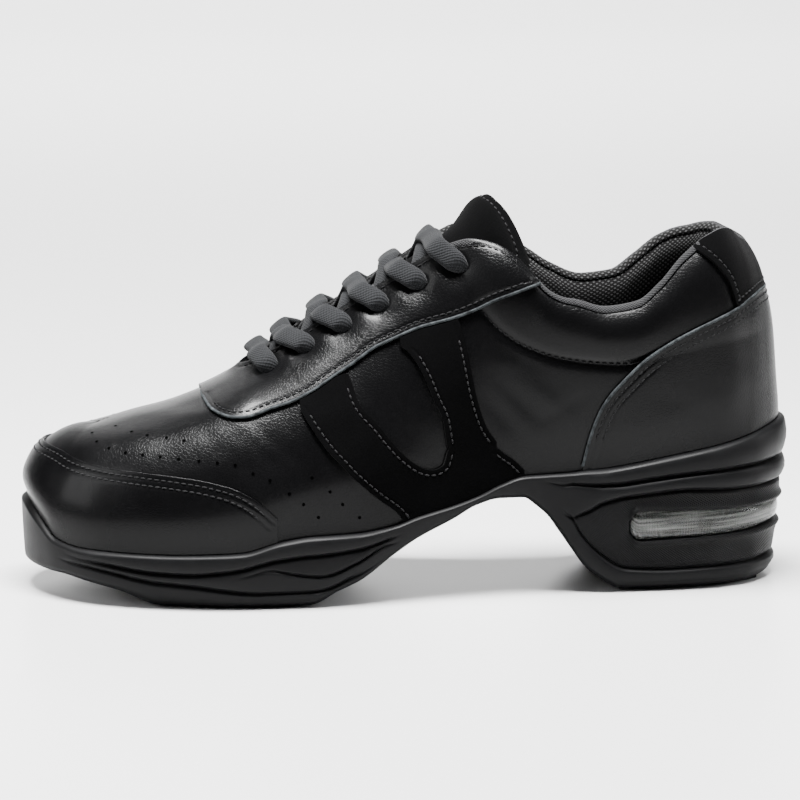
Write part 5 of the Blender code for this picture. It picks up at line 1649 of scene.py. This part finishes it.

# rows of pinholes beside the toe cap and on the vamp, each drawn as a flat disc of painted shade:
# along, height share
pinholeRows = (
    ((0.055, 0.478), (0.058, 0.461), (0.071, 0.444), (0.087, 0.430), (0.108, 0.420),
     (0.131, 0.414), (0.153, 0.412), (0.175, 0.410), (0.198, 0.408), (0.223, 0.405),
     (0.246, 0.402), (0.268, 0.397), (0.290, 0.375), (0.311, 0.357), (0.335, 0.320),
     (0.353, 0.290), (0.372, 0.252)),
    ((0.085, 0.500), (0.098, 0.476), (0.117, 0.463), (0.140, 0.459), (0.160, 0.456),
     (0.184, 0.455), (0.206, 0.452)),
    ((0.364, 0.362), (0.387, 0.322), (0.403, 0.285), (0.425, 0.245)))
pinholeSizes = {"radius": 0.00055, "rise": 0.00022, "round": 12}


def buildPinholes():
    # each pinhole is a flat dark disc just above the leather, painted shade where the hole would
    # be; no hole is cut
    mesh = bmesh.new()
    for side in (lateral, medial):
        for row in pinholeRows:
            for along, height in row:
                share = shareAtHeight(side, along, height * last["collar"])
                point, normal = skin(side * float(turnOf(along)), share)
                point = point + normal * float(softness(point[None])[0])
                turned = Vector(normal).to_track_quat("Z", "Y").to_matrix().to_4x4()
                turned.translation = Vector(point) + Vector(normal) * pinholeSizes["rise"]
                bmesh.ops.create_circle(mesh, cap_ends=True, segments=pinholeSizes["round"],
                                        radius=pinholeSizes["radius"], matrix=turned)
    piece = asObject(mesh, "vamp_pinholes", (pinholeShade,))


buildPinholes()
print("stitches and pinholes made")


for nodeName in ("tread_forefoot", "tread_heel"):
    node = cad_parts[nodeName]
    node.data.materials.clear()
    node.data.materials.append(soleRubber)


studio = {"floor": (0.46, 0.46, 0.46), "half": 4.0, "wall": 4.0, "bend": 1.5, "bendSteps": 16,
          "worldStrength": 0.05}
# name, place, aim, size, power
lightRows = (
    ("topSoft", (-0.06, -0.12, 1.2), (0, 0, 0.05), (0.8, 0.34), 165.0),
    ("leftSoft", (-1.3, -0.3, 0.7), (0, 0, 0.05), (0.6, 0.9), 13.0),
    ("rightSoft", (1.3, -0.1, 0.6), (0, 0, 0.05), (0.6, 0.9), 13.0),
    ("backWash", (0, 1.6, 1.8), (0, 3.4, 0.6), (3.0, 1.0), 490.0))


def buildFloor():
    mesh = bmesh.new()
    bmesh.ops.create_grid(mesh, x_segments=1, y_segments=1, size=studio["half"])
    back = studio["half"] - 0.1
    far = [edge for edge in mesh.edges if all(v.co.y > back for v in edge.verts)]
    raised = bmesh.ops.extrude_edge_only(mesh, edges=far)["geom"]
    for vert in [g for g in raised if isinstance(g, bmesh.types.BMVert)]:
        vert.co.z += studio["wall"]
    corner = [edge for edge in far if all(v.co.z < 0.1 for v in edge.verts)]
    bmesh.ops.bevel(mesh, geom=corner, offset=studio["bend"], segments=studio["bendSteps"],
                    affect="EDGES", profile=0.5, material=-1)
    data = bpy.data.meshes.new("studio_floor")
    mesh.to_mesh(data)
    mesh.free()
    data.shade_smooth()
    look = newLook("paleFloor", studio["floor"], 0.32, Specular_IOR_Level=0.5)
    data.materials.append(look)
    floor = bpy.data.objects.new("studio_floor", data)
    bpy.context.scene.collection.objects.link(floor)


def softLight(name, spot, aim, size, power):
    data = bpy.data.lights.new(name, "AREA")
    data.shape = "RECTANGLE"
    data.size, data.size_y = size
    data.energy = power
    made = bpy.data.objects.new(name, data)
    bpy.context.scene.collection.objects.link(made)
    made.location = spot
    made.rotation_euler = (Vector(aim) - Vector(spot)).to_track_quat("-Z", "Y").to_euler()


buildFloor()
for lightRow in lightRows:
    softLight(*lightRow)

world = bpy.data.worlds.new("studioWorld")
world.use_nodes = True
world.node_tree.nodes["Background"].inputs["Color"].default_value = (1, 1, 1, 1)
world.node_tree.nodes["Background"].inputs["Strength"].default_value = studio["worldStrength"]
bpy.context.scene.world = world
print("studio lit")
